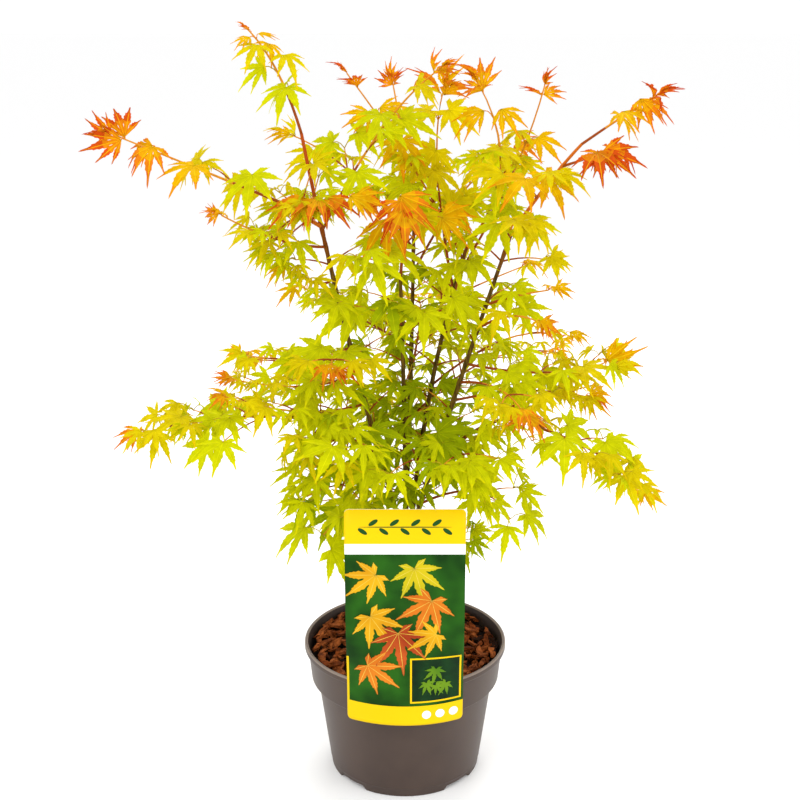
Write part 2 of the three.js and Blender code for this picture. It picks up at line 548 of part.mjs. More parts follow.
// Places a leaf in the first of a few poses that fits.
function placeLeaf(mass, spot, seed) {
  for (let attempt = 0; attempt < retry.tries; attempt++) {
    const leaf = poseLeaf(spot, seed, attempt);
    if (leaf.length < blade.shortest) return;
    if (leafFits(mass, leaf)) {
      addToMass(mass, solidOf(leafGeometry(leaf, 0)));
      return;
    }
  }
}

// The spots of the leaf pairs along a shoot, closer together towards its tip.
function leafSpots(shoot, row, seed, facing) {
  const spots = [];
  for (let pair = 0; pair < row.pairs; pair++) {
    const share = row.pairs === 1 ? 1 : pair / (row.pairs - 1);
    const at = mix(row.first, 1, 1 - (1 - share) ** habit.crowding);
    const tangent = shoot.curve.getTangent(at);
    const { side, lift } = across(tangent);
    const crossed = 90 * Math.abs(tangent.dot(up)) * (pair % 2);
    const turn = (crossed + habit.turn * (chance(seed, 20 + pair) - 0.5)) * degrees;
    const outward = side.clone().multiplyScalar(Math.cos(turn)).addScaledVector(lift, Math.sin(turn));
    const age = Math.min(1, mix(habit.hangFirst, row.bud, share));
    const length = mix(row.leaf[0], row.leaf[1], share);
    const place = axisPoint(shoot, at);
    [1, -1].forEach((hand) => {
      const way = outward.clone().multiplyScalar(hand);
      spots.push({ pair, hand, place, tangent, length, age, facing, outward: way });
    });
  }
  return spots;
}

// The spot of the single leaf at a shoot's tip.
function tipSpot(shoot, row, facing) {
  const tangent = shoot.curve.getTangent(1);
  const length = habit.tipLeaf * row.leaf[1];
  return { place: axisPoint(shoot, 1), tangent, outward: tangent, length, age: row.bud, facing };
}

// A side twig takes a leaf's place on one of the lower pairs, with a pair of leaves of its own.
function growSideTwig(mass, spot, seed) {
  const reach = spot.length * mix(sideShoot.least, sideShoot.most, chance(seed, 6));
  const heading = spot.outward.clone().addScaledVector(spot.tangent, sideShoot.along);
  heading.addScaledVector(up, sideShoot.rise).normalize();
  const tip = spot.place.clone().addScaledVector(heading, reach);
  const middle = spot.place.clone().add(tip).multiplyScalar(0.5).addScaledVector(up, reach * sideShoot.bow);
  const radiusAt = (share) => mix(twig.sideFoot, twig.sideEnd, share);
  const curve = arch(spot.place, middle, tip);
  const limb = { curve, radiusAt, sides: facets.twig, steps: steps.sideTwig };
  const clear = isFree(solidOf(limbGeometry(limb, blade.clearance)), (space) => space.owner !== mass.name);
  if (!clear) return false;
  addToMass(mass, solidOf(limbGeometry(limb, 0)));
  const leafLength = spot.length * sideShoot.leaf;
  const row = { first: 1, pairs: 1, bud: 1, leaf: [leafLength, leafLength] };
  leafSpots(limb, row, seed + 0.5, spot.facing).forEach((leafSpot, i) => {
    placeLeaf(mass, leafSpot, seed + seedStep.side * (i + 1));
  });
  return true;
}

// A mass's own stem runs from its parent's bark to its tip.
function growShoot(row) {
  const parent = limbs.get(row.parent);
  const curve = arch(axisPoint(parent, row.at), vector(row.middle), vector(row.tip));
  const foot = row.at === 1 ? parent.radiusAt(1) : twig.foot;
  const radiusAt = (share) => mix(foot, twig.end, share);
  const limb = { curve, radiusAt, sides: facets.twig, steps: steps.twig };
  const mass = { name: row.name, row, limb, solids: [] };
  addToMass(mass, solidOf(limbGeometry(limb, 0)).subtract(parent.sleeve));
  return mass;
}

// Leaves and side twigs of a mass; the leaves turn to the front, or to the back on the far side.
function fillMass(mass, index) {
  const { row, limb } = mass;
  const toBack = row.tip[1] > habit.faceBackBeyond;
  const facing = new THREE.Vector3(0, toBack ? habit.face : -habit.face, 0);
  const massSeed = seedStep.mass * (index + 1);
  leafSpots(limb, row, index + 1, facing).forEach((spot, i) => {
    const forks = spot.pair < row.forks && spot.hand === (spot.pair % 2 ? 1 : -1);
    if (!(forks && growSideTwig(mass, spot, massSeed + i))) placeLeaf(mass, spot, massSeed + i);
  });
  if (row.pairs > 1) placeLeaf(mass, tipSpot(limb, row, facing), massSeed + seedStep.tip);
}

function tintColor(tint) {
  const tints = ["#a8b400", "#c8cc08", "#e0cc10", "#ee9a18", "#e4571a"];
  return tints[Math.round(tint) - 1];
}

addMesh("pot", potGeometry(), "#6b5f59", 0.5);
addMesh("bark_mulch", fillGeometry(), "#6e3a1c", 0.95);
addMesh("label_card", cardGeometry(), "#1f6b1e", 0.35);
maple.children.forEach((mesh) => takeSpace(mesh.name, solidOf(mesh.geometry)));
growTrunk();
growStems();
growBoughs();
const grown = masses.map(growShoot);
grown.forEach(fillMass);
grown.forEach((mass) => {
  const tint = mix(mass.row.tint[0], mass.row.tint[1], 0.4);
  addMesh(mass.name, geometryOf(wasm.Manifold.union(mass.solids)), tintColor(tint), 0.6);
});

export default maple;
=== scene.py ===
import math
import bmesh
import bpy
from mathutils import Matrix, Vector, noise


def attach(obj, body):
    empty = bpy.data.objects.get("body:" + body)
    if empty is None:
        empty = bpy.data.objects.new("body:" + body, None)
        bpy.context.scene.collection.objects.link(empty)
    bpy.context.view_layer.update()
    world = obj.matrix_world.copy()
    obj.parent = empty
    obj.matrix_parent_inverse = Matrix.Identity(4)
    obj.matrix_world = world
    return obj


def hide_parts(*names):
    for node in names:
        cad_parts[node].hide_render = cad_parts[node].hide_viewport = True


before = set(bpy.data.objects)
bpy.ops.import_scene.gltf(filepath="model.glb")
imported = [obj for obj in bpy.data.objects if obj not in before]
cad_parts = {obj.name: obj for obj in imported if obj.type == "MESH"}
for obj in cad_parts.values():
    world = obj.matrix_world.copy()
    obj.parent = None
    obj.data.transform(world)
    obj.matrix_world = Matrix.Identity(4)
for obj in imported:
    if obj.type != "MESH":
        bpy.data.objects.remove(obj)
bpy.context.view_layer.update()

mm = 0.001
upward = Vector((0, 0, 1))
print("frame loaded")


def linear(hexColour):
    # sRGB hex to the linear colour that the shaders want
    channels = [int(hexColour[i:i + 2], 16) / 255 for i in (1, 3, 5)]
    return tuple(c / 12.92 if c <= 0.04045 else ((c + 0.055) / 1.055) ** 2.4 for c in channels) + (1,)


def mix(a, b, share):
    return a + (b - a) * share


def smoothStep(low, high, value):
    t = min(1, max(0, (value - low) / (high - low)))
    return t * t * (3 - 2 * t)


def chance(seed, draw):
    # the plant's own fixed numbers from 0 to 1
    wave = math.sin(seed * 12.9898 + draw * 78.233) * 43758.5453
    return wave - math.floor(wave)


def addNode(tree, kind, settings=None, links=None, ramp=()):
    # one shader node, its settings by name or socket, what feeds its inputs and the stops of its colour ramp
    node = tree.nodes.new(kind)
    for key, value in (settings or {}).items():
        if isinstance(key, int) or key in node.inputs:
            node.inputs[key].default_value = value
        else:
            setattr(node, key, value)
    for key, source in (links or {}).items():
        tree.links.new(source, node.inputs[key])
    for stop, (position, hexColour) in enumerate(ramp):
        node.color_ramp.elements[stop].position = position
        node.color_ramp.elements[stop].color = linear(hexColour)
    return node


def blankMaterial(name):
    material = bpy.data.materials.new(name)
    material.use_nodes = True
    material.node_tree.nodes.clear()
    return material, material.node_tree


def surfaced(material, shader):
    # the material, with this shader on its surface
    addNode(material.node_tree, "ShaderNodeOutputMaterial", links={"Surface": shader.outputs[0]})
    return material


def meshOf(bm, name):
    mesh = bpy.data.meshes.new(name)
    bm.to_mesh(mesh)
    bm.free()
    return mesh


def discard(meshes):
    for mesh in meshes:
        bpy.data.meshes.remove(mesh)


def joinPart(bm, part):
    # adds one bmesh to another and frees it
    mesh = meshOf(part, "part")
    bm.from_mesh(mesh)
    discard([mesh])


def joinCopy(bm, mesh, place):
    # adds a moved copy of a mesh to a bmesh
    copy = mesh.copy()
    copy.transform(place)
    bm.from_mesh(copy)
    discard([copy])


def turnVerts(bm, verts, degrees, axis):
    bmesh.ops.rotate(bm, verts=verts, cent=(0, 0, 0), matrix=Matrix.Rotation(math.radians(degrees), 3, axis))


def cutAcross(bm, place, normal, dist=0.01, clear=False):
    bmesh.ops.bisect_plane(bm, geom=bm.verts[:] + bm.edges[:] + bm.faces[:], dist=dist, plane_co=place,
                           plane_no=normal, clear_outer=clear)


def finishPiece(name, bm, materials, replaced=(), smooth=True):
    # a bmesh in millimetres becomes a piece of the part, in metres
    bmesh.ops.scale(bm, verts=bm.verts, vec=(mm, mm, mm))
    for face in bm.faces:
        face.smooth = smooth
    mesh = meshOf(bm, name)
    for material in materials:
        mesh.materials.append(material)
    piece = bpy.data.objects.new(name, mesh)
    bpy.context.scene.collection.objects.link(piece)
    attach(piece, "root")
    if replaced:
        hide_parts(*replaced)
    print(name, len(mesh.polygons), "faces")
    return piece


view = {"place": (0, -1.098, 0.691), "down": 16.67, "lens": 57.47, "sensor": 36, "shiftX": -0.0063}
studio = {
    "floor": "#F6F6F6", "reach": 60, "world": "#FFFFFF", "worldStrength": 1.08, "aim": (0, 0, 0.35),
    # name, place, size and power
    "lamps": [
        ("window_light", (-1.3, -1.5, 1.9), 1.6, 22),
        ("side_light", (1.5, -0.9, 1.3), 1.4, 12),
        ("back_light", (0.3, 1.7, 1.8), 1.5, 22),
    ],
}


def placeCamera():
    camera = bpy.data.objects.new("camera", bpy.data.cameras.new("camera"))
    camera.data.sensor_width = view["sensor"]
    camera.data.lens = view["lens"]
    camera.data.shift_x = view["shiftX"]
    camera.location = view["place"]
    camera.rotation_euler = (math.radians(90 - view["down"]), 0, 0)
    bpy.context.scene.collection.objects.link(camera)
    bpy.context.scene.camera = camera


def lightStudio():
    scene = bpy.context.scene
    scene.view_settings.view_transform = "Standard"
    world = bpy.data.worlds.new("studio")
    scene.world = world
    world.use_nodes = True
    backdrop = world.node_tree.nodes["Background"]
    backdrop.inputs["Color"].default_value = linear(studio["world"])
    backdrop.inputs["Strength"].default_value = studio["worldStrength"]
    for name, place, size, power in studio["lamps"]:
        lamp = bpy.data.lights.new(name, "AREA")
        lamp.shape = "DISK"
        lamp.size = size
        lamp.energy = power
        light = bpy.data.objects.new(name, lamp)
        light.location = place
        aim = Vector(studio["aim"]) - light.location
        light.rotation_euler = aim.to_track_quat("-Z", "Y").to_euler()
        scene.collection.objects.link(light)


def layFloor():
    bm = bmesh.new()
    bmesh.ops.create_grid(bm, x_segments=1, y_segments=1, size=studio["reach"])
    material, tree = blankMaterial("paleStudioPaper")
    paper = addNode(tree, "ShaderNodeBsdfPrincipled", {
        "Base Color": linear(studio["floor"]), "Roughness": 0.9, "Specular IOR Level": 0.1})
    floor = bpy.data.objects.new("studio_floor", meshOf(bm, "studio_floor"))
    floor.data.materials.append(surfaced(material, paper))
    bpy.context.scene.collection.objects.link(floor)


placeCamera()
lightStudio()
layFloor()
print("studio ready")


potSizes = {
    "height": 128, "lip": 95, "collarTop": 91.7, "collarFoot": 89.3, "collar": 93.5, "body": 83, "foot": 70.8,
    "wall": 1.8, "bead": 6, "rim": 1.4, "base": 4.5, "steps": 128,
    "notches": 4, "notchWidth": 31, "notchHeight": 3.5, "notchDepth": 9, "notchedBelow": 2.2,
}


def pottingPlastic(name, low, high):
    # injection moulded polypropylene, dyed taupe: an even satin with a faint pearly grain and soft glints;
    # the paler copy on the rim is a painted highlight, the darker copy inside is painted shade
    material, tree = blankMaterial(name)
    place = addNode(tree, "ShaderNodeTexCoord").outputs["Object"]
    grain = addNode(tree, "ShaderNodeTexNoise", {"Scale": 1400, "Detail": 3}, {"Vector": place})
    cloud = addNode(tree, "ShaderNodeTexNoise", {"Scale": 28, "Detail": 4}, {"Vector": place}).outputs["Fac"]
    shade = addNode(tree, "ShaderNodeValToRGB", links={"Fac": cloud}, ramp=((0.3, low), (0.72, high)))
    gloss = addNode(tree, "ShaderNodeMapRange", {"To Min": 0.38, "To Max": 0.5}, {"Value": cloud})
    bump = addNode(tree, "ShaderNodeBump", {"Strength": 0.12, "Distance": 0.0002},
                   {"Height": grain.outputs["Fac"]})
    plastic = addNode(tree, "ShaderNodeBsdfPrincipled", {"IOR": 1.49, "Specular IOR Level": 0.3}, {
        "Base Color": shade.outputs["Color"], "Roughness": gloss.outputs["Result"],
        "Normal": bump.outputs["Normal"]})
    return surfaced(material, plastic)


def potOutline():
    # radius, height and how far the corner is rounded, from the underside out, up and down the inside
    s = potSizes
    bead, notchEnd = s["height"] - s["bead"], s["foot"] - s["notchDepth"]
    return [
        (0, 0, 0), (notchEnd, 0, 0), (notchEnd + 0.4, 0, 0),
        (s["foot"], 0, 1.2), (s["foot"] + 0.8, 8, 0), (s["foot"] + 1.3, 8.6, 0.3),
        (s["body"], s["collar"] - 3.2, 0.8), (s["collarFoot"] - 0.6, s["collar"] - 2.2, 1.1),
        (s["collarTop"], bead - 1.2, 0.6), (s["lip"], bead - 0.2, 1.1),
        (s["lip"], s["height"], 1.6), (s["lip"] - 2.8, s["height"], 1.2),
        (s["collarTop"] - s["wall"], bead - 3, 1), (s["collarFoot"] - s["wall"], s["collar"] + 1.2, 0.6),
        (s["body"] - s["wall"], s["collar"] - 1.2, 0.6), (s["foot"] + 0.5 - s["wall"], 8, 1),
        (s["foot"] - 3, s["base"], 0.8), (0, s["base"], 0),
    ]


def buildPot():
    s = potSizes
    outline = potOutline()
    bm = bmesh.new()
    points = [bm.verts.new((r, 0, z)) for r, z, _ in outline]
    edges = [bm.edges.new(pair) for pair in zip(points, points[1:])]
    bmesh.ops.spin(bm, geom=points + edges, axis=(0, 0, 1), cent=(0, 0, 0), angle=math.tau, steps=s["steps"],
                   use_merge=True)
    bmesh.ops.remove_doubles(bm, verts=bm.verts, dist=0.01)
    bmesh.ops.recalc_face_normals(bm, faces=bm.faces)
    for r, z, rounding in outline:
        if rounding:
            ring = [e for e in bm.edges if all(
                abs(v.co.z - z) < 0.02 and abs(math.hypot(v.co.x, v.co.y) - r) < 0.02 for v in e.verts)]
            bmesh.ops.bevel(bm, geom=ring, offset=rounding, offset_type="OFFSET", affect="EDGES", segments=3,
                            profile=0.5, material=-1)
    halfNotch = math.degrees(s["notchWidth"] / 2 / s["foot"])
    apart = 360 / s["notches"]
    for v in bm.verts:
        radius = math.hypot(v.co.x, v.co.y)
        if v.co.z < s["notchedBelow"] and radius > s["foot"] - s["notchDepth"] + 0.2:
            away = (math.degrees(math.atan2(v.co.y, v.co.x)) - apart / 2) % apart
            if min(away, apart - away) < halfNotch:
                v.co.z += s["notchHeight"]
    bm.normal_update()
    for face in bm.faces:
        centre = face.calc_center_median()
        # painted highlight: the top of the rim gets a paler copy of the plastic
        if centre.z > s["height"] - s["rim"]:
            face.material_index = 1
        # painted shade: the inner wall above the collar gets a darker copy of the plastic
        elif centre.z > s["collar"] and face.normal.dot(Vector((centre.x, centre.y, 0))) < 0:
            face.material_index = 2
    finishPiece("nursery_pot", bm, [
        pottingPlastic("taupePolypropylene", "#41332C", "#4A3B33"),
        pottingPlastic("paintedHighlightRimPolypropylene", "#786A60", "#84766B"),
        pottingPlastic("paintedShadeInsidePolypropylene", "#2C221D", "#352A24")], ["pot"])


buildPot()


mulchSizes = {
    "level": 115, "reach": 86, "wall": 88.5, "trunkRoom": 9, "chips": 780, "splinters": 11, "seed": 71,
    "length": (6, 22), "fewLong": 1.4, "breadth": (0.17, 0.4), "thickness": (1.5, 3.2), "height": (-0.5, 6),
    "besideWall": (0.75, 0.95), "wallSwing": 0.8, "wallRise": 1.5, "tilt": 60, "pitch": 44,
    "taper": (0.2, 0.7), "flatTaper": 0.6, "bend": 1.3, "curl": 1.8, "curlUp": 0.35, "rough": 0.22,
    "byHeight": 0.65, "shadedBelow": 0.42, "litAndTone": 0.62,
}


def barkChip(name, low, high):
    # composted pine bark: dry, matt and fibrous, darker in its cracks
    material, tree = blankMaterial(name)
    place = addNode(tree, "ShaderNodeTexCoord").outputs["Object"]
    fibres = addNode(tree, "ShaderNodeTexNoise", {"Scale": 420, "Detail": 6, "Roughness": 0.65},
                     {"Vector": place}).outputs["Fac"]
    patches = addNode(tree, "ShaderNodeTexNoise", {"Scale": 90, "Detail": 2}, {"Vector": place})
    both = addNode(tree, "ShaderNodeMath", {"operation": "MULTIPLY"}, {0: fibres, 1: patches.outputs["Fac"]})
    shade = addNode(tree, "ShaderNodeValToRGB", links={"Fac": both.outputs[0]},
                    ramp=((0.14, low), (0.4, high)))
    bump = addNode(tree, "ShaderNodeBump", {"Strength": 0.6, "Distance": 0.0008}, {"Height": fibres})
    bark = addNode(tree, "ShaderNodeBsdfPrincipled", {"Roughness": 0.9, "Specular IOR Level": 0.06}, {
        "Base Color": shade.outputs["Color"], "Normal": bump.outputs["Normal"]})
    return surfaced(material, bark)


def chipMesh(variant):
    # one curled splinter of bark, 1 mm each way, with blunt broken ends
    s = mulchSizes
    bm = bmesh.new()
    bmesh.ops.create_cube(bm, size=1)
    for axis, cuts in ((0, 3), (1, 1)):
        along = [e for e in bm.edges if abs(e.verts[0].co[axis] - e.verts[1].co[axis]) > 0.2]
        bmesh.ops.subdivide_edges(bm, edges=along, cuts=cuts, use_grid_fill=True)
    for i, v in enumerate(bm.verts):
        end = 4 * v.co.x ** 2
        taper = 1 - mix(*s["taper"], chance(variant, 3)) * end
        v.co.y = v.co.y * taper + s["bend"] * (chance(variant, 4) - 0.5) * end
        v.co.z = v.co.z * mix(1, taper, s["flatTaper"]) - s["curl"] * (chance(variant, 5) - s["curlUp"]) * end
        shake = Vector([chance(variant + 7 * i, k) for k in (1, 2, 3)])
        v.co += s["rough"] * (shake - Vector((0.5, 0.5, 0.5)))
    return meshOf(bm, "splinter")


def spreadMulch():
    s = mulchSizes
    splinters = [chipMesh(variant + 1) for variant in range(s["splinters"])]
    bm = bmesh.new()
    for k in range(s["chips"]):
        seed = s["seed"] + k
        radius = s["reach"] * math.sqrt(mix((s["trunkRoom"] / s["reach"]) ** 2, 1, chance(seed, 1)))
        turn = math.tau * chance(seed, 2)
        length = mix(*s["length"], chance(seed, 3) ** s["fewLong"])
        width = length * mix(*s["breadth"], chance(seed, 4))
        thick = mix(*s["thickness"], chance(seed, 5))
        beside = smoothStep(*s["besideWall"], radius / s["reach"])
        withWall = turn + math.pi / 2 + s["wallSwing"] * (chance(seed, 6) - 0.5)
        lie = (Matrix.Rotation(mix(math.tau * chance(seed, 6), withWall, beside), 4, "Z")
               @ Matrix.Rotation(math.radians(s["tilt"] * (chance(seed, 7) - 0.5)), 4, "X")
               @ Matrix.Rotation(math.radians(s["pitch"] * (chance(seed, 8) - 0.5)), 4, "Y"))
        height = s["level"] + mix(*s["height"], chance(seed, 9)) + s["wallRise"] * beside
        radius = min(radius, s["wall"] - mix(length, width, beside) / 2)
        place = Matrix.Translation((radius * math.cos(turn), radius * math.sin(turn), height))
        before = len(bm.faces)
        joinCopy(bm, splinters[k % len(splinters)], place @ lie @ Matrix.Diagonal((length, width, thick, 1)))
        bm.faces.ensure_lookup_table()
        # painted shade: the deeper a chip lies, the darker its bark, mixed with a random tone
        litAndTone = mix(chance(seed, 10), chance(seed, 9), s["byHeight"])
        for face in bm.faces[before:]:
            face.material_index = 0 if litAndTone < s["shadedBelow"] else 1 if litAndTone < s["litAndTone"] else 2
    discard(splinters)
    # the darkest bark goes on the lowest chips, as painted shade between them as well as a darker tone
    finishPiece("bark_chips", bm, [
        barkChip("darkPineBark", "#0C0401", "#321706"), barkChip("redPineBark", "#361605", "#7E3B11"),
        barkChip("palePineBark", "#4C210A", "#9E5628")], smooth=False)
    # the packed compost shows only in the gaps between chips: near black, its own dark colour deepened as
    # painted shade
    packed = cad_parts["bark_mulch"].data.materials
    packed.clear()
    packed.append(barkChip("compostWithGapShade", "#090402", "#1A0C05"))


spreadMulch()


cardSizes = {
    "width": 103, "bottom": 89.5, "top": 295, "thickness": 0.8, "corner": 4, "middle": -95.7,
    "radius": 105, "flatAbove": 190, "fullBelow": 128, "bendRows": 9, "bendColumns": 7,
    "header": 263.5, "stripe": 254, "footer": 108.5, "edge": 2, "edgeBelow": 150,
    "insetLeft": 6, "insetRight": 48, "insetTop": 154, "insetFoot": 113, "frame": 1.6,
    "hookWidth": 20, "hookStart": 0.3, "hookReach": 9.7, "hookThick": 1, "hookDrop": 12, "rest": 128.3,
    "ink": 0.12, "inkStep": 0.04, "disc": 4,
}
# the name of each ink, its two shades and the scale of its patches
cardInks = [
    ("greenInk", "#0C3404", "#245C0E"), ("yellowInk", "#E8C000", "#EAC400", 8),
    ("bareCard", "#F4F4F0", "#FAFAF6", 8), ("deepInk", "#08200C", "#103614", 60),
]
motifInks = [
    ("limeInk", "#A8A00C", "#C8B414"), ("goldInk", "#C88C0C", "#DCA814"), ("orangeInk", "#B8560E", "#D47A1C"),
    ("rustInk", "#963410", "#BC541C"), ("mossInk", "#3A6A10", "#6A8E18"), ("pineInk", "#1A4A1C", "#1A4A1C"),
    ("strawInk", "#D8BC48", "#DCC454"), ("whiteInk", "#FAFAFA", "#FAFAFA"),
]
# middle, length, turn in degrees and ink of each printed leaf
printedLeaves = [
    (-25, 235, 32, 128, 1), (8, 241, 35, 196, 0), (-30, 196, 36, 214, 1), (23, 211, 38, 158, 2),
    (-6, 180, 40, 188, 3), (-33, 147, 34, 236, 2), (27, 179, 28, 120, 1),
]
insetLeaves = [(19, 131, 13, 200, 4), (27, 144, 15, 170, 4), (36, 129, 13, 150, 4), (27, 128, 11, 215, 4)]
printedDiscs = [(19, 99.5), (31, 99.5), (43, 99.5)]
headerSprig = {
    "height": 279, "start": -36, "step": 9, "leaves": 9, "rise": 4, "leaf": 4.6, "narrow": 0.42, "turn": 35,
    "stem": 40, "stemNarrow": 0.012,
}


def printedCard(name, low, high, scale=30):
    # offset print under clear film: even ink with soft patches and a smooth, slightly glossy face
    material, tree = blankMaterial(name)
    place = addNode(tree, "ShaderNodeTexCoord").outputs["Object"]
    patches = addNode(tree, "ShaderNodeTexNoise", {"Scale": scale, "Detail": 2}, {"Vector": place})
    ink = addNode(tree, "ShaderNodeValToRGB", links={"Fac": patches.outputs["Fac"]},
                  ramp=((0.35, low), (0.65, high)))
    film = addNode(tree, "ShaderNodeTexNoise", {"Scale": 900, "Detail": 2}, {"Vector": place})
    bump = addNode(tree, "ShaderNodeBump", {"Strength": 0.04, "Distance": 0.0001},
                   {"Height": film.outputs["Fac"]})
    glaze = addNode(tree, "ShaderNodeBsdfPrincipled", {"Roughness": 0.45, "Specular IOR Level": 0.1}, {
        "Base Color": ink.outputs["Color"], "Normal": bump.outputs["Normal"]})
    return surfaced(material, glaze)


def bendWithPot(bm):
    # the flat card, its front toward -Y, pushed back where it follows the round of the pot
    s = cardSizes
    for v in bm.verts:
        share = smoothStep(0, s["flatAbove"] - s["fullBelow"], s["flatAbove"] - v.co.z)
        v.co.y += s["middle"] + share * (s["radius"] - math.sqrt(s["radius"] ** 2 - v.co.x ** 2))


def cardInk(x, z):
    # which of the card's inks is printed at a place on its front
    s = cardSizes
    if z > s["header"]:
        return 1
    if z > s["stripe"]:
        return 2
    if z < s["footer"] or x < -s["width"] / 2 + s["edge"] and z < s["edgeBelow"]:
        return 1
    wide = s["insetLeft"] - s["frame"] < x < s["insetRight"] + s["frame"]
    if wide and s["insetFoot"] - s["frame"] < z < s["insetTop"] + s["frame"]:
        return 3 if s["insetLeft"] < x < s["insetRight"] and s["insetFoot"] < z < s["insetTop"] else 1
    return 0


def cardHook():
    # a shelf over the pot's rim with a tongue that hangs behind it
    s = cardSizes
    hook = bmesh.new()
    bmesh.ops.create_cube(hook, size=1)
    bmesh.ops.scale(hook, verts=hook.verts, vec=(s["hookWidth"], s["hookReach"], s["hookThick"]))
    front = s["middle"] + s["hookStart"]
    shelf = (0, front + s["hookReach"] / 2, s["rest"] + s["hookThick"] / 2)
    bmesh.ops.translate(hook, verts=hook.verts, vec=shelf)
    bend = front + s["hookReach"] - s["hookThick"]
    cutAcross(hook, (0, bend, 0), (0, 1, 0))
    under = [f for f in hook.faces if f.normal.z < -0.5 and f.calc_center_median().y > bend]
    tongue = bmesh.ops.extrude_discrete_faces(hook, faces=under)["faces"]
    bmesh.ops.translate(hook, verts=tongue[0].verts[:], vec=(0, 0, s["hookThick"] - s["hookDrop"]))
    for face in hook.faces:
        face.material_index = 2
    return hook


def buildCard():
    s = cardSizes
    bm = bmesh.new()
    bmesh.ops.create_grid(bm, x_segments=1, y_segments=1, size=0.5)
    bmesh.ops.scale(bm, verts=bm.verts, vec=(s["width"], s["top"] - s["bottom"], 1))
    turnVerts(bm, bm.verts, 90, "X")
    bmesh.ops.translate(bm, verts=bm.verts, vec=(0, 0, (s["top"] + s["bottom"]) / 2))
    bmesh.ops.bevel(bm, geom=bm.verts[:], offset=s["corner"], offset_type="OFFSET", affect="VERTICES",
                    segments=5, profile=0.5, material=-1)
    # cuts where the inks change, and rows and columns for the bend
    levels = [s["header"], s["stripe"], s["footer"], s["bottom"] + s["edge"], s["insetFoot"] - s["frame"],
              s["insetFoot"], s["insetTop"], s["insetTop"] + s["frame"]]
    levels += range(100, s["flatAbove"], s["bendRows"])
    columns = [-s["width"] / 2 + s["edge"], s["insetLeft"] - s["frame"], s["insetLeft"], s["insetRight"],
               s["insetRight"] + s["frame"]] + [s["bendColumns"] * k for k in range(-7, 8)]
    for level in levels:
        cutAcross(bm, (0, 0, level), (0, 0, 1))
    for column in columns:
        cutAcross(bm, (column, 0, 0), (1, 0, 0))
    bmesh.ops.solidify(bm, geom=bm.faces[:], thickness=s["thickness"])
    bmesh.ops.recalc_face_normals(bm, faces=bm.faces)
    middle = sum(v.co.y for v in bm.verts) / len(bm.verts)
    bmesh.ops.translate(bm, verts=bm.verts, vec=(0, -middle, 0))
    for face in bm.faces:
        centre = face.calc_center_median()
        face.material_index = cardInk(centre.x, centre.z) if face.normal.y < -0.5 else 2
    bendWithPot(bm)
    joinPart(bm, cardHook())
    finishPiece("label_print", bm, [printedCard(*ink) for ink in cardInks], ["label_card"])


def printLeaves():
    # leaves of the kind the card stands for, three white discs and a sprig, raised by the ink's thickness
    s, g = cardSizes, headerSprig
    front = -s["thickness"] / 2 - s["ink"]
    bm = bmesh.new()
    shapes = leafShapes["grown"]
    for k, (x, z, size, turn, tint) in enumerate(printedLeaves + insetLeaves):
        flat = bmesh.new()
        flat.from_mesh(shapes[k % len(shapes)])
        for v in flat.verts:
            v.co.z = 0
        turned = Matrix.Rotation(math.radians(turn), 3, "Z")
        for v in flat.verts:
            spot = turned @ v.co * size
            v.co = Vector((x + spot.x, front - s["inkStep"] * k, z + spot.y))
        for face in flat.faces:
            face.material_index = 6 if face.material_index == 3 and tint < 4 else tint
        joinPart(bm, flat)
    for side in (-1, 1):
        # the print ends with the card
        cutAcross(bm, (side * (s["width"] / 2 - 0.2), 0, 0), (side, 0, 0), 0.001, True)
    # middle, radius, squeeze, turn and ink
    rounds = [(x, z, s["disc"], 1, 0, 7) for x, z in printedDiscs]
    for k in range(g["leaves"]):
        hand = 1 if k % 2 else -1
        rounds.append((g["start"] + g["step"] * k, g["height"] + hand * g["rise"], g["leaf"], g["narrow"],
                       hand * g["turn"], 5))
    rounds.append((0, g["height"], g["stem"], g["stemNarrow"], 0, 5))
    for x, z, size, squeeze, turn, tint in rounds:
        disc = bmesh.ops.create_circle(bm, cap_ends=True, segments=24, radius=size)["verts"]
        bmesh.ops.scale(bm, verts=disc, vec=(1, squeeze, 1))
        turnVerts(bm, disc, turn, "Z")
        turnVerts(bm, disc, 90, "X")
        bmesh.ops.translate(bm, verts=disc, vec=(x, front, z))
        for face in {f for v in disc for f in v.link_faces}:
            face.material_index = tint
    bendWithPot(bm)
    bmesh.ops.recalc_face_normals(bm, faces=bm.faces)
    finishPiece("label_motifs", bm, [printedCard(*ink) for ink in motifInks], smooth=False)


trunkSizes = {
    "foot": 10.5, "waist": 6.3, "top": 7.3, "ground": 115.3, "height": 236, "lean": 2, "flare": 6,
    "swellFrom": 0.75, "forkRing": 4.55, "forkRadius": 2.45, "forkDepth": 1,
    "boughFoot": 1.9, "boughTip": 1.3,
}

# name, turn on the fork, middle, tip, radius at the tip
stemRows = [
    ("left_stem", 190, (-50, -18, 426), (-86, -20, 599), 1.4),
    ("centre_stem", 262, (-1, -5, 365), (-4, -8, 475), 1.5),
    ("right_stem", 334, (43, -14, 366), (90, -20, 515), 1.6),
    ("right_centre_stem", 46, (24, 14, 372), (54, 22, 495), 1.6),
    ("back_stem", 118, (5, 30, 375), (8, 62, 510), 1.5),
]

# name, parent, place along it, middle, tip
boughRows = [
    ("left_upper_bough", "left_stem", 0.77, (-83, -27, 530), (-102, -33, 543)),
    ("left_lower_bough", "left_stem", 0.2, (-62, -32, 342), (-104, -45, 362)),
    ("right_lower_bough", "right_stem", 0.27, (80, -25, 350), (122, -44, 348)),
    ("right_leader_bough", "right_stem", 1, (121, -8, 556), (150, 3, 588)),
]

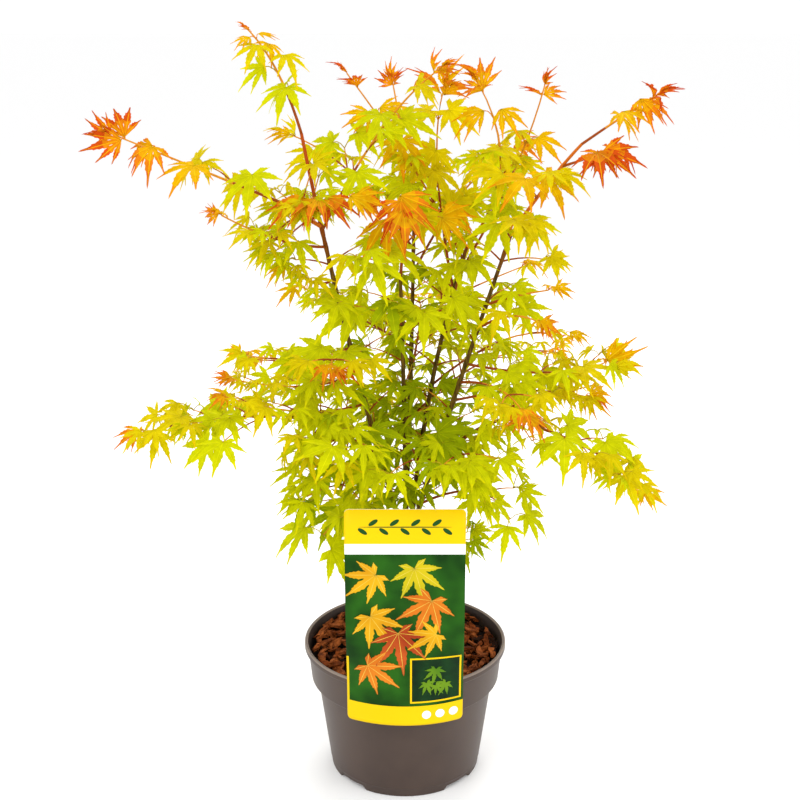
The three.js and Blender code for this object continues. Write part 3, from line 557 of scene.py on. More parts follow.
# name, parent, place along it, middle and tip, then
# the first pair's place, pairs, lobe from and to, tint from and to, hang and forks
massRows = [
    ("left_top", "left_stem", 1, (-106, -14, 650), (-131, -10, 684),
     0.24, 5, (38, 10), (0.8, 4.8), 0.1, 0),
    ("left_front", "left_stem", 0.83, (-72, -38, 544), (-70, -58, 547),
     0.4, 1, (43, 47), (3.6, 4.35), 1, 0),
    ("left_upper", "left_upper_bough", 1, (-168, -43, 572), (-234, -50, 600),
     0.14, 4, (42, 32), (1, 5), 0, 0),
    ("left_middle", "left_stem", 0.72, (-104, -44, 514), (-148, -68, 538),
     0.3, 3, (40, 20), (1.2, 3.7), 0.3, 0),
    ("left_short", "left_stem", 0.64, (-76, -28, 474), (-92, -38, 486),
     0.5, 1, (34, 32), (1, 3), 0.8, 0),
    ("left_inner", "left_stem", 0.68, (-44, -36, 498), (-24, -50, 498),
     0.5, 1, (48, 50), (1, 1.2), 1, 0),
    ("cross_top", "left_stem", 0.76, (-20, 6, 600), (30, 0, 651),
     0.22, 4, (42, 22), (1, 4.4), 0.1, 1),
    ("centre_top", "right_centre_stem", 0.96, (14, 44, 553), (-50, 36, 645),
     0.22, 5, (46, 20), (1, 5), 0, 0),
    ("centre_upper", "right_centre_stem", 0.84, (29, 58, 560), (34, 60, 630),
     0.28, 4, (46, 34), (1.6, 4), 0.2, 0),
    ("right_centre_top", "right_centre_stem", 1, (82, 14, 566), (60, -6, 640),
     0.3, 4, (42, 30), (1, 4.6), 0, 0),
    ("right_centre_long", "right_centre_stem", 0.9, (93, 32, 556), (118, 12, 636),
     0.3, 3, (44, 20), (1, 4.5), 0.1, 1),
    ("right_leader", "right_leader_bough", 1, (183, 11, 609), (212, 5, 628),
     0.45, 3, (38, 26), (3.4, 5), 0.1, 0),
    ("right_leader_red", "right_leader_bough", 0.7, (149, -10, 576), (161, -20, 581),
     0.5, 1, (40, 42), (4.4, 5), 0.5, 0),
    ("right_leader_low", "right_leader_bough", 0.35, (104, -30, 556), (106, -44, 561),
     0.5, 1, (42, 40), (2, 2.6), 0.8, 0),
    ("right_upper_front", "right_stem", 0.95, (88, -42, 524), (94, -57, 530),
     0.3, 2, (44, 40), (1, 1.8), 0.8, 0),
    ("centre_front", "centre_stem", 1, (-2, -24, 512), (-3, -48, 540),
     0.6, 2, (50, 52), (3, 4.9), 0.9, 0),
    ("centre_left", "centre_stem", 0.8, (-13, -28, 444), (-21, -46, 451),
     0.5, 1, (48, 50), (1, 1), 1, 0),
    ("centre_right", "centre_stem", 0.74, (13, -26, 440), (25, -46, 451),
     0.5, 1, (48, 50), (1, 1.2), 1, 0),
    ("inner_right", "right_centre_stem", 0.72, (43, 0, 458), (47, -20, 484),
     0.5, 1, (42, 40), (1, 1.3), 1, 0),
    ("right_waist_upper", "right_stem", 0.8, (92, -34, 464), (120, -46, 472),
     0.45, 2, (34, 26), (1, 2.8), 0.4, 0),
    ("right_waist_lower", "right_stem", 0.73, (88, -48, 450), (110, -64, 449),
     0.4, 2, (38, 26), (1.4, 3.6), 0.5, 0),
    ("left_tier_upper", "left_stem", 0.41, (-85, -38, 386), (-146, -62, 399),
     0.25, 3, (39, 20), (1, 3.7), 0.3, 1),
    ("left_tier_middle", "left_stem", 0.33, (-88, -54, 368), (-148, -90, 392),
     0.35, 3, (46, 18), (1, 3.5), 0.3, 0),
    ("left_tier_front", "left_stem", 0.47, (-60, -48, 416), (-60, -76, 413),
     0.4, 2, (44, 32), (1, 5), 0.6, 0),
    ("left_lower", "left_lower_bough", 1, (-166, -46, 358), (-226, -46, 347),
     0.1, 5, (50, 33), (1, 4), 0.6, 1),
    ("left_under", "left_stem", 0.16, (-50, -36, 302), (-54, -54, 286),
     0.4, 2, (48, 44), (1, 1), 1, 0),
    ("bottom_left", "left_stem", 0.09, (-38, -30, 280), (-72, -54, 254),
     0.6, 1, (50, 50), (1, 1), 1, 0),
    ("left_front_low", "left_stem", 0.27, (-44, -50, 348), (-50, -80, 338),
     0.4, 2, (50, 46), (1, 1.2), 1, 0),
    ("front_low", "centre_stem", 0.34, (7, -44, 330), (16, -78, 316),
     0.4, 2, (54, 54), (1, 1), 1, 0),
    ("right_front_low", "right_stem", 0.3, (42, -44, 332), (54, -76, 324),
     0.5, 2, (45, 45), (1, 1), 1, 0),
    ("right_tier_upper", "right_stem", 0.62, (122, -12, 391), (176, -6, 398),
     0.25, 3, (42, 38), (1, 3.2), 0.3, 1),
    ("right_tier_middle", "right_stem", 0.5, (110, 16, 366), (164, 12, 362),
     0.3, 3, (40, 31), (1, 3.6), 0.3, 1),
    ("right_tier_front", "right_stem", 0.56, (78, -50, 388), (98, -80, 376),
     0.4, 2, (42, 34), (1, 4.5), 0.7, 0),
    ("right_lower", "right_lower_bough", 1, (164, -58, 332), (198, -66, 305),
     0.1, 4, (50, 35), (1, 2.3), 0.5, 0),
    ("bottom_right", "right_stem", 0.12, (62, -46, 292), (91, -68, 275),
     0.6, 1, (42, 42), (1, 1), 1, 0),
    ("low_shoot", "trunk", 0.86, (32, -12, 240), (50, -18, 236),
     1, 1, (34, 34), (1, 1), 1, 0),
    ("left_rear", "left_stem", 0.45, (-92, 26, 392), (-148, 66, 386),
     0.4, 2, (44, 34), (1, 2.8), 0.6, 0),
    ("right_rear", "right_centre_stem", 0.5, (92, 56, 404), (150, 84, 400),
     0.4, 2, (40, 30), (1, 3), 0.6, 0),
    ("back_left_low", "back_stem", 0.3, (-70, 96, 352), (-142, 150, 360),
     0.3, 3, (46, 34), (1, 3.4), 0.6, 1),
    ("back_right_low", "back_stem", 0.36, (76, 96, 372), (146, 150, 366),
     0.3, 3, (42, 30), (1, 3.4), 0.6, 1),
    ("back_low", "back_stem", 0.22, (-4, 80, 322), (-14, 140, 318),
     0.4, 2, (46, 42), (1, 1.6), 1, 0),
    ("back_left_middle", "back_stem", 0.6, (-44, 88, 418), (-96, 128, 436),
     0.35, 2, (42, 32), (1, 2.6), 0.6, 0),
    ("back_right_middle", "back_stem", 0.7, (60, 84, 446), (112, 112, 462),
     0.35, 2, (42, 32), (1, 2.8), 0.6, 0),
    ("back_middle", "back_stem", 0.5, (14, 100, 410), (14, 158, 420),
     0.35, 3, (44, 34), (1, 2.4), 0.6, 0),
    ("back_top", "back_stem", 1, (-2, 100, 580), (-12, 122, 636),
     0.2, 3, (42, 20), (1, 4.6), 0.1, 0),
    ("back_left_top", "back_stem", 0.92, (-48, 92, 552), (-110, 112, 588),
     0.3, 3, (42, 26), (1, 2), 0.2, 0),
    ("back_right_top", "back_stem", 0.84, (58, 98, 540), (108, 116, 576),
     0.35, 3, (42, 26), (1, 4), 0.2, 0),
]
# name, from and to along the stem, and how far to the front its spurs may point above the fork
spurRows = [
    ("left_stem", 0.1, 0.9, -0.15), ("centre_stem", 0.14, 1, -0.15), ("right_stem", 0.12, 0.95, -0.15),
    ("right_centre_stem", 0.18, 1, -1), ("back_stem", 0.16, 1, -1), ("left_lower_bough", 0.35, 0.85, -1),
    ("right_lower_bough", 0.55, 0.8, -1), ("left_upper_bough", 0.35, 0.8, -1),
]
limbs = {}
tubes = {}


def arch(start, middle, tip):
    # the curve from start to tip that passes through the middle point
    control = middle * 2 - (start + tip) / 2
    return start, control, tip


def alongCurve(curve, share):
    start, control, tip = curve
    return start * (1 - share) ** 2 + control * (2 * share * (1 - share)) + tip * share ** 2


def curveTangent(curve, share):
    start, control, tip = curve
    return ((control - start) * (2 - 2 * share) + (tip - control) * (2 * share)).normalized()


def across(tangent):
    # the level side of a limb and its upper side
    side = tangent.cross(upward)
    if side.length < 0.2:
        side = Vector((1, 0, 0))
    lift = side.cross(tangent).normalized()
    return tangent.cross(lift), lift


def sideways(tangent, turn):
    side, lift = across(tangent)
    return side * math.cos(turn) + lift * math.sin(turn)


def roundTube(sides, steps):
    # a straight tube along Z from 0 to 1, closed at both ends
    if (sides, steps) not in tubes:
        bm = bmesh.new()
        bmesh.ops.create_cone(bm, cap_ends=True, segments=sides, radius1=1, radius2=1, depth=1)
        bmesh.ops.translate(bm, verts=bm.verts, vec=(0, 0, 0.5))
        uprights = [e for e in bm.edges if abs(e.verts[0].co.z - e.verts[1].co.z) > 0.5]
        bmesh.ops.subdivide_edges(bm, edges=uprights, cuts=steps - 1)
        tubes[sides, steps] = meshOf(bm, "tube")
    return tubes[sides, steps]


def joinTube(bm, curve, radiusAt, sides, steps, slot=0, relief=None, turns=None):
    # a tapering round limb along the curve, in the next material past the share of its length in turns
    vertsBefore, facesBefore = len(bm.verts), len(bm.faces)
    bm.from_mesh(roundTube(sides, steps))
    bm.verts.ensure_lookup_table()
    bm.faces.ensure_lookup_table()
    for v in bm.verts[vertsBefore:]:
        share = min(1, max(0, v.co.z))
        side, lift = across(curveTangent(curve, share))
        radius = radiusAt(share)
        if relief:
            radius += relief(math.atan2(v.co.y, v.co.x), share)
        v.co = alongCurve(curve, share) + (side * v.co.x + lift * v.co.y) * radius
    length = (curve[2] - curve[0]).length
    for face in bm.faces[facesBefore:]:
        face.material_index = slot
        if turns is not None and (face.calc_center_median() - curve[0]).length > turns * length:
            face.material_index = slot + 1


def growLimbs():
    s = trunkSizes
    low, high = Vector((0, 0, s["ground"])), Vector((s["lean"], 0, s["height"]))
    middle = Vector((-s["lean"] / 2, s["lean"] / 2, (low.z + high.z) / 2))

    def trunkRadius(share):
        flare = (s["foot"] - s["waist"]) * (1 - share) ** s["flare"]
        return s["waist"] + flare + (s["top"] - s["waist"]) * smoothStep(s["swellFrom"], 1, share)

    limbs["trunk"] = (arch(low, middle, high), trunkRadius)
    for name, turn, middle, tip, end in stemRows:
        angle = math.radians(turn)
        start = Vector((math.cos(angle), math.sin(angle), 0)) * s["forkRing"]
        start += Vector((s["lean"], 0, s["height"] - s["forkDepth"]))
        radiusAt = lambda share, end=end: mix(s["forkRadius"], end, share)
        limbs[name] = (arch(start, Vector(middle), Vector(tip)), radiusAt)
    for name, parent, at, middle, tip in boughRows:
        curve, parentRadius = limbs[parent]
        foot = parentRadius(1) if at == 1 else s["boughFoot"]
        radiusAt = lambda share, foot=foot: mix(foot, s["boughTip"], share)
        limbs[name] = (arch(alongCurve(curve, at), Vector(middle), Vector(tip)), radiusAt)


growLimbs()


barkRelief = {
    "furrow": 0.05, "furrowAround": 2.2, "furrowAlong": 9, "nodeSwell": 0.55, "nodeWidth": 0.012,
    "plainRadius": 2.2, "trunkMesh": (28, 60), "stemMesh": (14, 110), "boughMesh": (10, 24),
}


def mapleBark(name, low, high, young, youngFrom, youngTo):
    # thin smooth bark of a young maple: silky, faintly streaked lengthwise, redder where it is younger
    material, tree = blankMaterial(name)
    place = addNode(tree, "ShaderNodeTexCoord").outputs["Object"]
    stretch = addNode(tree, "ShaderNodeMapping", {"Scale": (1, 1, 0.16)}, {"Vector": place})
    streaks = addNode(tree, "ShaderNodeTexNoise", {"Scale": 620, "Detail": 5},
                      {"Vector": stretch.outputs["Vector"]}).outputs["Fac"]
    spots = addNode(tree, "ShaderNodeTexVoronoi", {"Scale": 300}, {"Vector": place})
    height = addNode(tree, "ShaderNodeSeparateXYZ", links={"Vector": place})
    age = addNode(tree, "ShaderNodeMapRange", {"From Min": youngFrom, "From Max": youngTo},
                  {"Value": height.outputs["Z"]})
    old = addNode(tree, "ShaderNodeValToRGB", links={"Fac": streaks}, ramp=((0.32, low), (0.66, high)))
    blend = addNode(tree, "ShaderNodeMix", {"data_type": "RGBA"}, {"Factor": age.outputs["Result"]})
    tree.links.new(old.outputs["Color"], blend.inputs["A"])
    blend.inputs["B"].default_value = linear(young)
    pits = addNode(tree, "ShaderNodeMath", {"operation": "MULTIPLY"},
                   {0: streaks, 1: spots.outputs["Distance"]})
    bump = addNode(tree, "ShaderNodeBump", {"Strength": 0.5, "Distance": 0.0005}, {"Height": pits.outputs[0]})
    bark = addNode(tree, "ShaderNodeBsdfPrincipled", {"Roughness": 0.7, "Specular IOR Level": 0.12}, {
        "Base Color": blend.outputs["Result"], "Normal": bump.outputs["Normal"]})
    return surfaced(material, bark)


def barkOn(name):
    # furrows along the limb and a swollen ring at each place where something grows from it
    curve, radiusAt = limbs[name]
    rings = [row[2] for row in boughRows + massRows if row[1] == name and row[2] < 1]
    s = barkRelief

    def relief(angle, share):
        spot = Vector((math.cos(angle) * s["furrowAround"], math.sin(angle) * s["furrowAround"],
                       share * s["furrowAlong"]))
        furrow = noise.noise(spot + curve[0]) * s["furrow"] * radiusAt(share)
        swell = sum(math.exp(-((share - ring) / s["nodeWidth"]) ** 2) for ring in rings)
        return furrow + min(1, swell) * s["nodeSwell"] * radiusAt(share) / s["plainRadius"]

    return relief


def buildBark(piece, names, mesh, bark):
    bm = bmesh.new()
    for name in names:
        joinTube(bm, *limbs[name], *mesh, relief=barkOn(name))
    finishPiece(piece, bm, [bark], names)


buildBark("trunk_bark", ["trunk"], barkRelief["trunkMesh"],
          mapleBark("oliveMapleBark", "#2E2208", "#6A541A", "#4E390E", 0.16, 0.3))
buildBark("stem_bark", [row[0] for row in stemRows], barkRelief["stemMesh"],
          mapleBark("brownMapleBark", "#382A08", "#705414", "#A4440A", 0.475, 0.565))
buildBark("bough_bark", [row[0] for row in boughRows], barkRelief["boughMesh"],
          mapleBark("redMapleBark", "#6A3A0A", "#8C5210", "#BC620C", 0.34, 0.52))


leafHabit = {
    "size": 0.82, "topSize": 1.1, "top": (500, 580), "length": (0.92, 1.08), "turn": 50, "swing": 44,
    "young": 2, "grown": 13, "pitchSpread": 32, "roll": 30, "youngRoll": 150, "opening": (0.15, 0.7),
    "along": 0.6, "rise": 0.5, "outward": 0.8, "face": 0.45, "lean": 0.75, "faceBackBeyond": 70,
    "aheadAlong": (0.3, 1), "aheadOut": (0.4, 1.1), "redFrom": 3, "redGrowth": 1.2,
    "stalk": (0.3, 0.62), "youngStalk": 0.4, "redStalk": 0.45, "redder": (2.2, 4), "stalkBow": 0.07,
    "tries": 5, "trySwing": 24, "tryPitch": 5, "probes": (0.3, 0.8), "better": 4, "room": 0.42, "tight": 0.14,
    "hangFirst": 1.3, "crowding": 1.3, "shootHang": 0.25, "lastPair": 0.94, "shootTaper": 1.7, "tipLeaf": 0.8,
}
# where the card hangs, and how far the lobes at the sides of a leaf reach
cardRoom = {
    "side": 55, "top": 300, "front": -88, "turns": (-72, -36, 0, 36, 72), "sideShorter": 0.28, "droop": 0.24,
}

# the angle of each lobe from the middle one and its length, the depth of the cuts, breadth, fold and veins
leafForms = {
    "grown": (((0, 1), (37, 0.9), (76, 0.68), (118, 0.38)), 0.34, 0.12, 0.3, 1),
    "middling": (((0, 1), (36, 0.86), (74, 0.6)), 0.3, 0.108, 0.4, 1),
    "young": (((0, 1), (25, 0.88), (52, 0.64)), 0.25, 0.105, 0.7, 1.9),
    "bud": (((0, 1), (13, 0.75)), 0.22, 0.075, 0.9, 2),
}
blade = {
    "rows": (0.27, 0.62), "narrowing": 0.46, "cut": 0.5, "lobes": (0.94, 1.06), "weld": 0.0035, "sway": 0.12,
    "foldUntil": 0.12, "tipDrop": (0.7, 1.35), "droop": 0.24, "droopCurve": 2.2, "lobeSway": 0.07,
    "notchAt": 0.3, "toothAt": 0.45, "notch": (0.011, 0.002), "tooth": (0.015, 0.016),
}

# tints from shaded green to scarlet: their material slot, the blade, its palm, its tips and its veins
tints = [
    ("shaded", "leaf_green", "#9EAC00", "#96A600", "#AAB600", "#B6BE08"),
    ("lime", "leaf_lime", "#C6C800", "#C2C600", "#D2CC00", "#D8D60C"),
    ("yellow", "leaf_yellow", "#D0C000", "#D2C000", "#DCBA00", "#DCCE18"),
    ("golden", "leaf_yellow", "#D8A400", "#DCAE00", "#DC8A04", "#E6C614"),
    ("orange", "leaf_orange", "#DA7E14", "#DEA008", "#CE5E12", "#E8B80C"),
    ("scarlet", "leaf_scarlet", "#CC5412", "#DC860C", "#BA3E10", "#E4A60C"),
]


def leafBlade(name, hexColour):
    # living maple leaf: thin, soft and matt, it lets the light behind it through
    material, tree = blankMaterial(name)
    place = addNode(tree, "ShaderNodeTexCoord").outputs["Object"]
    mottle = addNode(tree, "ShaderNodeTexNoise", {"Scale": 130, "Detail": 3}, {"Vector": place})
    spread = {"From Min": 0.3, "From Max": 0.7, "To Min": 0.88, "To Max": 1.12}
    tone = addNode(tree, "ShaderNodeMapRange", spread, {"Value": mottle.outputs["Fac"]})
    colour = addNode(tree, "ShaderNodeHueSaturation", {"Color": linear(hexColour)},
                     {"Value": tone.outputs["Result"]}).outputs["Color"]
    wrinkle = addNode(tree, "ShaderNodeTexNoise", {"Scale": 700, "Detail": 3}, {"Vector": place})
    bump = addNode(tree, "ShaderNodeBump", {"Strength": 0.25, "Distance": 0.0004},
                   {"Height": wrinkle.outputs["Fac"]})
    skin = addNode(tree, "ShaderNodeBsdfPrincipled", {"Roughness": 0.7, "Specular IOR Level": 0.06}, {
        "Base Color": colour, "Normal": bump.outputs["Normal"]})
    through = addNode(tree, "ShaderNodeBsdfTranslucent", links={"Color": colour})
    both = addNode(tree, "ShaderNodeMixShader", {0: 0.42}, {1: skin.outputs[0], 2: through.outputs[0]})
    return surfaced(material, both)


def toothed(bm, low, high, hand, size, count):
    # teeth that point forward along an edge of a lobe, each behind a notch
    b = blade
    start = low
    for left in range(count, 0, -1):
        _, notch = bmesh.utils.edge_split(bm.edges.get((start, high)), start, b["notchAt"] / left)
        edge = bm.edges.get((notch, high))
        _, tooth = bmesh.utils.edge_split(edge, notch, b["toothAt"] / (left - b["notchAt"]))
        notch.co += Vector((-hand * b["notch"][0], b["notch"][1], 0)) * size
        tooth.co += Vector((hand * b["tooth"][0], b["tooth"][1], 0)) * size
        start = tooth


def lobeMesh(before, after, reach, cut, broad, rib):
    # one lobe along Y: a strip of rows from the stalk's end to the tip with its vein down the middle
    bm = bmesh.new()
    bmesh.ops.create_grid(bm, x_segments=3, y_segments=4, size=1)
    rows = [0, cut, mix(cut, reach, blade["rows"][0]), mix(cut, reach, blade["rows"][1]), reach]
    halves = [0, 0, broad, broad * blade["narrowing"], 0]
    vein = [0.002 + 0.002 * rib, 0.006 * rib, 0.006 * rib, 0.004 * rib, 0]
    grid = {}
    for v in bm.verts:
        row, column = round((v.co.y + 1) * 2), round((v.co.x + 1) * 1.5)
        grid[row, column] = v
        hand = -1 if column < 2 else 1
        if column in (1, 2):
            v.co = Vector((hand * vein[row], rows[row], 0))
        elif row == 1:
            turn = math.radians(before if hand < 0 else after)
            v.co = Vector((cut * math.sin(turn), cut * math.cos(turn), 0))
        else:
            v.co = Vector((hand * halves[row] * reach, rows[row], 0))
    for face in bm.faces:
        row = min(r for (r, c), v in grid.items() if v in face.verts)
        ribs = sum(grid[r, c] in face.verts for r in range(5) for c in (1, 2))
        face.material_index = 3 if ribs == 4 else (1, 1, 0, 2)[row]
    # smaller teeth in the row at the tip
    for row, count, size in ((1, 1, reach), (2, 2, reach), (3, 1, 0.5 * reach)):
        for column, hand in ((0, -1), (3, 1)):
            toothed(bm, grid[row, column], grid[row + 1, column], hand, size, count)
    return bm


def leafMesh(lobes, sinus, broad, fold, rib, seed):
    # a blade one unit long, the stalk's end at the origin and its middle lobe along Y
    whole = [(-angle, reach) for angle, reach in reversed(lobes[1:])] + list(lobes)
    bm = bmesh.new()
    edge = lobes[-1][0] - lobes[-2][0]
    for k, (angle, reach) in enumerate(whole):
        before = (whole[k - 1][0] - angle if k else -edge) / 2
        after = (whole[k + 1][0] - angle if k + 1 < len(whole) else edge) / 2
        cut = sinus * mix(blade["cut"], 1, reach)
        part = lobeMesh(before, after, reach * mix(*blade["lobes"], chance(seed, k + 3)), cut, broad, rib)
        turnVerts(part, part.verts, -angle, "Z")
        joinPart(bm, part)
    bmesh.ops.remove_doubles(bm, verts=bm.verts, dist=blade["weld"])
    sway = blade["sway"] * (chance(seed, 1) - 0.5)
    for v in bm.verts:
        radius = math.hypot(v.co.x, v.co.y)
        angle = math.degrees(math.atan2(v.co.x, v.co.y))
        nearest = min(whole, key=lambda lobe: abs(lobe[0] - angle))[0]
        offVein = abs(math.radians(angle - nearest)) * radius
        tipDrop = mix(*blade["tipDrop"], chance(seed, 40 + nearest))
        folded = fold * min(offVein, blade["foldUntil"])
        v.co.z = folded - blade["droop"] * tipDrop * radius ** blade["droopCurve"]
        v.co.x += sway * radius ** 2 + blade["lobeSway"] * (chance(seed, 60 + nearest) - 0.5) * radius ** 3
    return meshOf(bm, "blade")


leafShapes = {kind: [leafMesh(*form, 11 + 20 * i + k) for k in range(4)]
              for i, (kind, form) in enumerate(leafForms.items())}
leaves = []
twigs = []
stalks = []
taken = []
dropped = []


def poseLeaf(spot, seed, attempt):
    # the stalk leaves the twig sideways and up, the blade turns out and down, young ones still point along
    h = leafHabit
    size = h["size"] * mix(1, h["topSize"], smoothStep(*h["top"], spot["place"].z))
    length = spot["length"] * size * mix(*h["length"], chance(seed, 1))
    swing = h["swing"] * (chance(seed, 2) - 0.5) + h["trySwing"] * attempt * (1 if attempt % 2 else -1)
    hang = mix(h["young"], h["grown"], spot["age"]) + h["pitchSpread"] * chance(seed, 3)
    pitch = math.radians(hang + h["tryPitch"] * (attempt % 3))
    youth = 1 - smoothStep(*h["opening"], spot["age"])
    if spot["tint"] > h["redFrom"]:
        length *= mix(1, h["redGrowth"], youth)
    roll = math.radians(mix(h["roll"], h["youngRoll"], youth) * (chance(seed, 4) - 0.5))
    stalk = (spot["outward"] + spot["tangent"] * h["along"] + upward * h["rise"]).normalized()
    heading = spot["outward"] * h["outward"] + spot["tangent"] * h["along"]
    heading += Vector((0, spot["facing"] * h["face"], 0))
    heading.z = 0
    heading.normalize()
    heading.rotate(Matrix.Rotation(math.radians(swing), 3, "Z"))
    forward = heading * math.cos(pitch) - upward * math.sin(pitch)
    ahead = spot["tangent"] * mix(*h["aheadAlong"], chance(seed, 15))
    ahead += spot["outward"] * mix(*h["aheadOut"], chance(seed, 16))
    forward = forward.lerp(ahead.normalized(), youth).normalized()
    sky = upward + Vector((0, spot["facing"] * h["lean"], 0))
    normal = sky - forward * sky.dot(forward)
    if normal.length < 0.1:
        normal = Vector((0, -1, 0)) + forward * forward.y
    normal.normalize()
    normal.rotate(Matrix.Rotation(roll, 3, forward))
    side = forward.cross(normal)
    reach = length * mix(*h["stalk"], chance(seed, 5)) * mix(1, h["youngStalk"], youth)
    reach *= mix(1, h["redStalk"], smoothStep(*h["redder"], spot["tint"]))
    return {"length": length, "base": spot["place"] + stalk * reach, "root": spot["place"],
            "forward": forward, "normal": normal, "side": side, "youth": youth}


def clearOfCard(leaf):
    # no lobe may come through the label card or hang before it
    c = cardRoom
    for turn in c["turns"]:
        angle = math.radians(turn)
        reach = leaf["length"] * (1 - c["sideShorter"] * abs(turn) / c["turns"][-1])
        tip = leaf["base"] + (leaf["forward"] * math.cos(angle) + leaf["side"] * math.sin(angle)) * reach
        tip -= leaf["normal"] * c["droop"] * reach
        if abs(tip.x) < c["side"] and tip.z < c["top"] and tip.y < c["front"]:
            return False
    return True


def crowding(leaf):
    # how near the blade comes to those already grown, from its middle and its outer third
    points = [leaf["base"] + leaf["forward"] * leaf["length"] * k for k in leafHabit["probes"]]
    nearest = 1e9
    for owner in taken:
        for point in points:
            nearest = min(nearest, (owner - point).length_squared)
    return points, nearest


def placeLeaf(spot, tint, seed, least=leafHabit["tight"], kind=None):
    # tries a few poses and keeps the one with the most room, or none
    spot = {**spot, "tint": tint}
    best = None
    for attempt in range(leafHabit["tries"]):
        leaf = poseLeaf(spot, seed, attempt)
        if not clearOfCard(leaf):
            continue
        points, room = crowding(leaf)
        if best is None or room > best[2] + leafHabit["better"]:
            best = (leaf, points, room)
        if room > (leafHabit["room"] * leaf["length"]) ** 2:
            break
    if best is None or best[2] < (least * best[0]["length"]) ** 2:
        dropped.append(seed)
        return
    leaf, points, _ = best
    taken.extend(points)
    leaf.update(tint=tint, seed=seed, kind=kind)
    leaves.append(leaf)
    bow = leaf["root"].lerp(leaf["base"], 0.5) + upward * leafHabit["stalkBow"] * leaf["length"]
    stalks.append((arch(leaf["root"], bow, leaf["base"]), tint))


def spotOn(curve, share, outward, length, facing, age=1):
    # a place on a twig for a leaf or a side twig, and how that stands there
    return {"place": alongCurve(curve, share), "tangent": curveTangent(curve, share), "outward": outward,
            "length": length, "facing": facing, "age": age}


def endSpot(curve, length, age, facing):
    return spotOn(curve, 1, curveTangent(curve, 1), length, facing, age)


def leafSpots(curve, first, pairs, lobe, hangLast, seed, facing):
    # pairs of places, each pair crossed to the last where the twig stands upright
    spots = []
    h = leafHabit
    shoot = pairs > 1 and hangLast < h["shootHang"]
    for pair in range(pairs):
        share = 1 if pairs == 1 else pair / (pairs - 1)
        at = mix(first, h["lastPair"] if shoot else 1, 1 - (1 - share) ** h["crowding"])
        share **= h["shootTaper"] if shoot else 1
        tangent = curveTangent(curve, at)
        crossed = 90 * abs(tangent.dot(upward)) * (pair % 2)
        outward = sideways(tangent, math.radians(crossed + h["turn"] * (chance(seed, 20 + pair) - 0.5)))
        age = min(1, mix(h["hangFirst"], hangLast, share))
        for hand in (1, -1):
            spot = spotOn(curve, at, outward * hand, mix(*lobe, share), facing, age)
            spots.append({**spot, "pair": pair, "hand": hand, "at": at})
    return spots


sideTwig = {
    "reach": (0.8, 1.2), "along": 0.8, "rise": 0.15, "bow": 0.06, "radius": (0.85, 0.5), "leaf": 0.9,
    "tipAge": 0.4,
}


def growSideTwig(spot, tint, seed, size=1.0, tipLeaf=False):
    s = sideTwig
    reach = spot["length"] * mix(*s["reach"], chance(seed, 6)) * size
    heading = (spot["outward"] + spot["tangent"] * s["along"] + upward * s["rise"]).normalized()
    tip = spot["place"] + heading * reach
    middle = (spot["place"] + tip) / 2 + upward * reach * s["bow"]
    curve = arch(spot["place"], middle, tip)
    twigs.append((curve, lambda share: mix(*s["radius"], share), tint))
    lobe = spot["length"] * s["leaf"]
    for i, leafSpot in enumerate(leafSpots(curve, 1, 1, (lobe, lobe), 1, seed + 0.5, spot["facing"])):
        placeLeaf(leafSpot, tint, seed + 0.1 * (i + 1))
    if tipLeaf:
        placeLeaf(endSpot(curve, lobe * leafHabit["tipLeaf"], s["tipAge"], spot["facing"]), tint, seed + 0.4)


budHabit = {"buds": 2, "size": (0.7, 1.2), "spread": 0.3, "hangBelow": 0.5, "leaf": 0.55}
clusterHabit = {
    "leaves": 3, "spread": 50, "swing": 30, "size": (0.65, 0.95), "age": (0.2, 0.75), "rise": 0.2,
    "face": 0.3, "tintFrom": 4.1,
}


def growBuds(curve, length, tint, facing, seed):
    # the folded leaves at the end of a growing shoot
    b = budHabit
    tangent = curveTangent(curve, 1)
    for k in range(b["buds"]):
        spot = endSpot(curve, length * mix(*b["size"], chance(seed + k, 31)), 0, facing)
        away = sideways(tangent, math.tau * (k / b["buds"] + chance(seed, 30)))
        spot["outward"] = (tangent + away * b["spread"]).normalized()
        placeLeaf(spot, tint, seed + k * 0.3, 0, "bud")


def growCluster(curve, length, tint, hang, facing, seed):
    # more young leaves round the end of a short twig in full colour
    c = clusterHabit
    tangent = curveTangent(curve, 1)
    side, lift = across(tangent)
    for k in range(c["leaves"]):
        spread = mix(-c["spread"], c["spread"], k / (c["leaves"] - 1))
        turn = math.radians(spread + c["swing"] * chance(seed, k))
        size = length * mix(*c["size"], chance(seed, 10 + k))
        spot = endSpot(curve, size, mix(*c["age"], hang), c["face"] * facing)
        spot["outward"] = (tangent * math.cos(turn) + side * math.sin(turn) + lift * c["rise"]).normalized()
        placeLeaf(spot, tint, seed + k * 0.3, 0)


massHabit = {"foot": 1.3, "tip": 0.6, "tintCurve": (1.4, 3), "tintHang": 0.5}
# the side twigs between the pairs, with more of them in the lower tiers
finer = {
    "start": 0.16, "trunkStart": 0.5, "least": 22, "until": 0.6, "share": 0.8, "lowerTiers": 440,
    "lowerMore": 0.3, "leaf": 0.86, "reach": 0.75, "tint": 0.5,
}


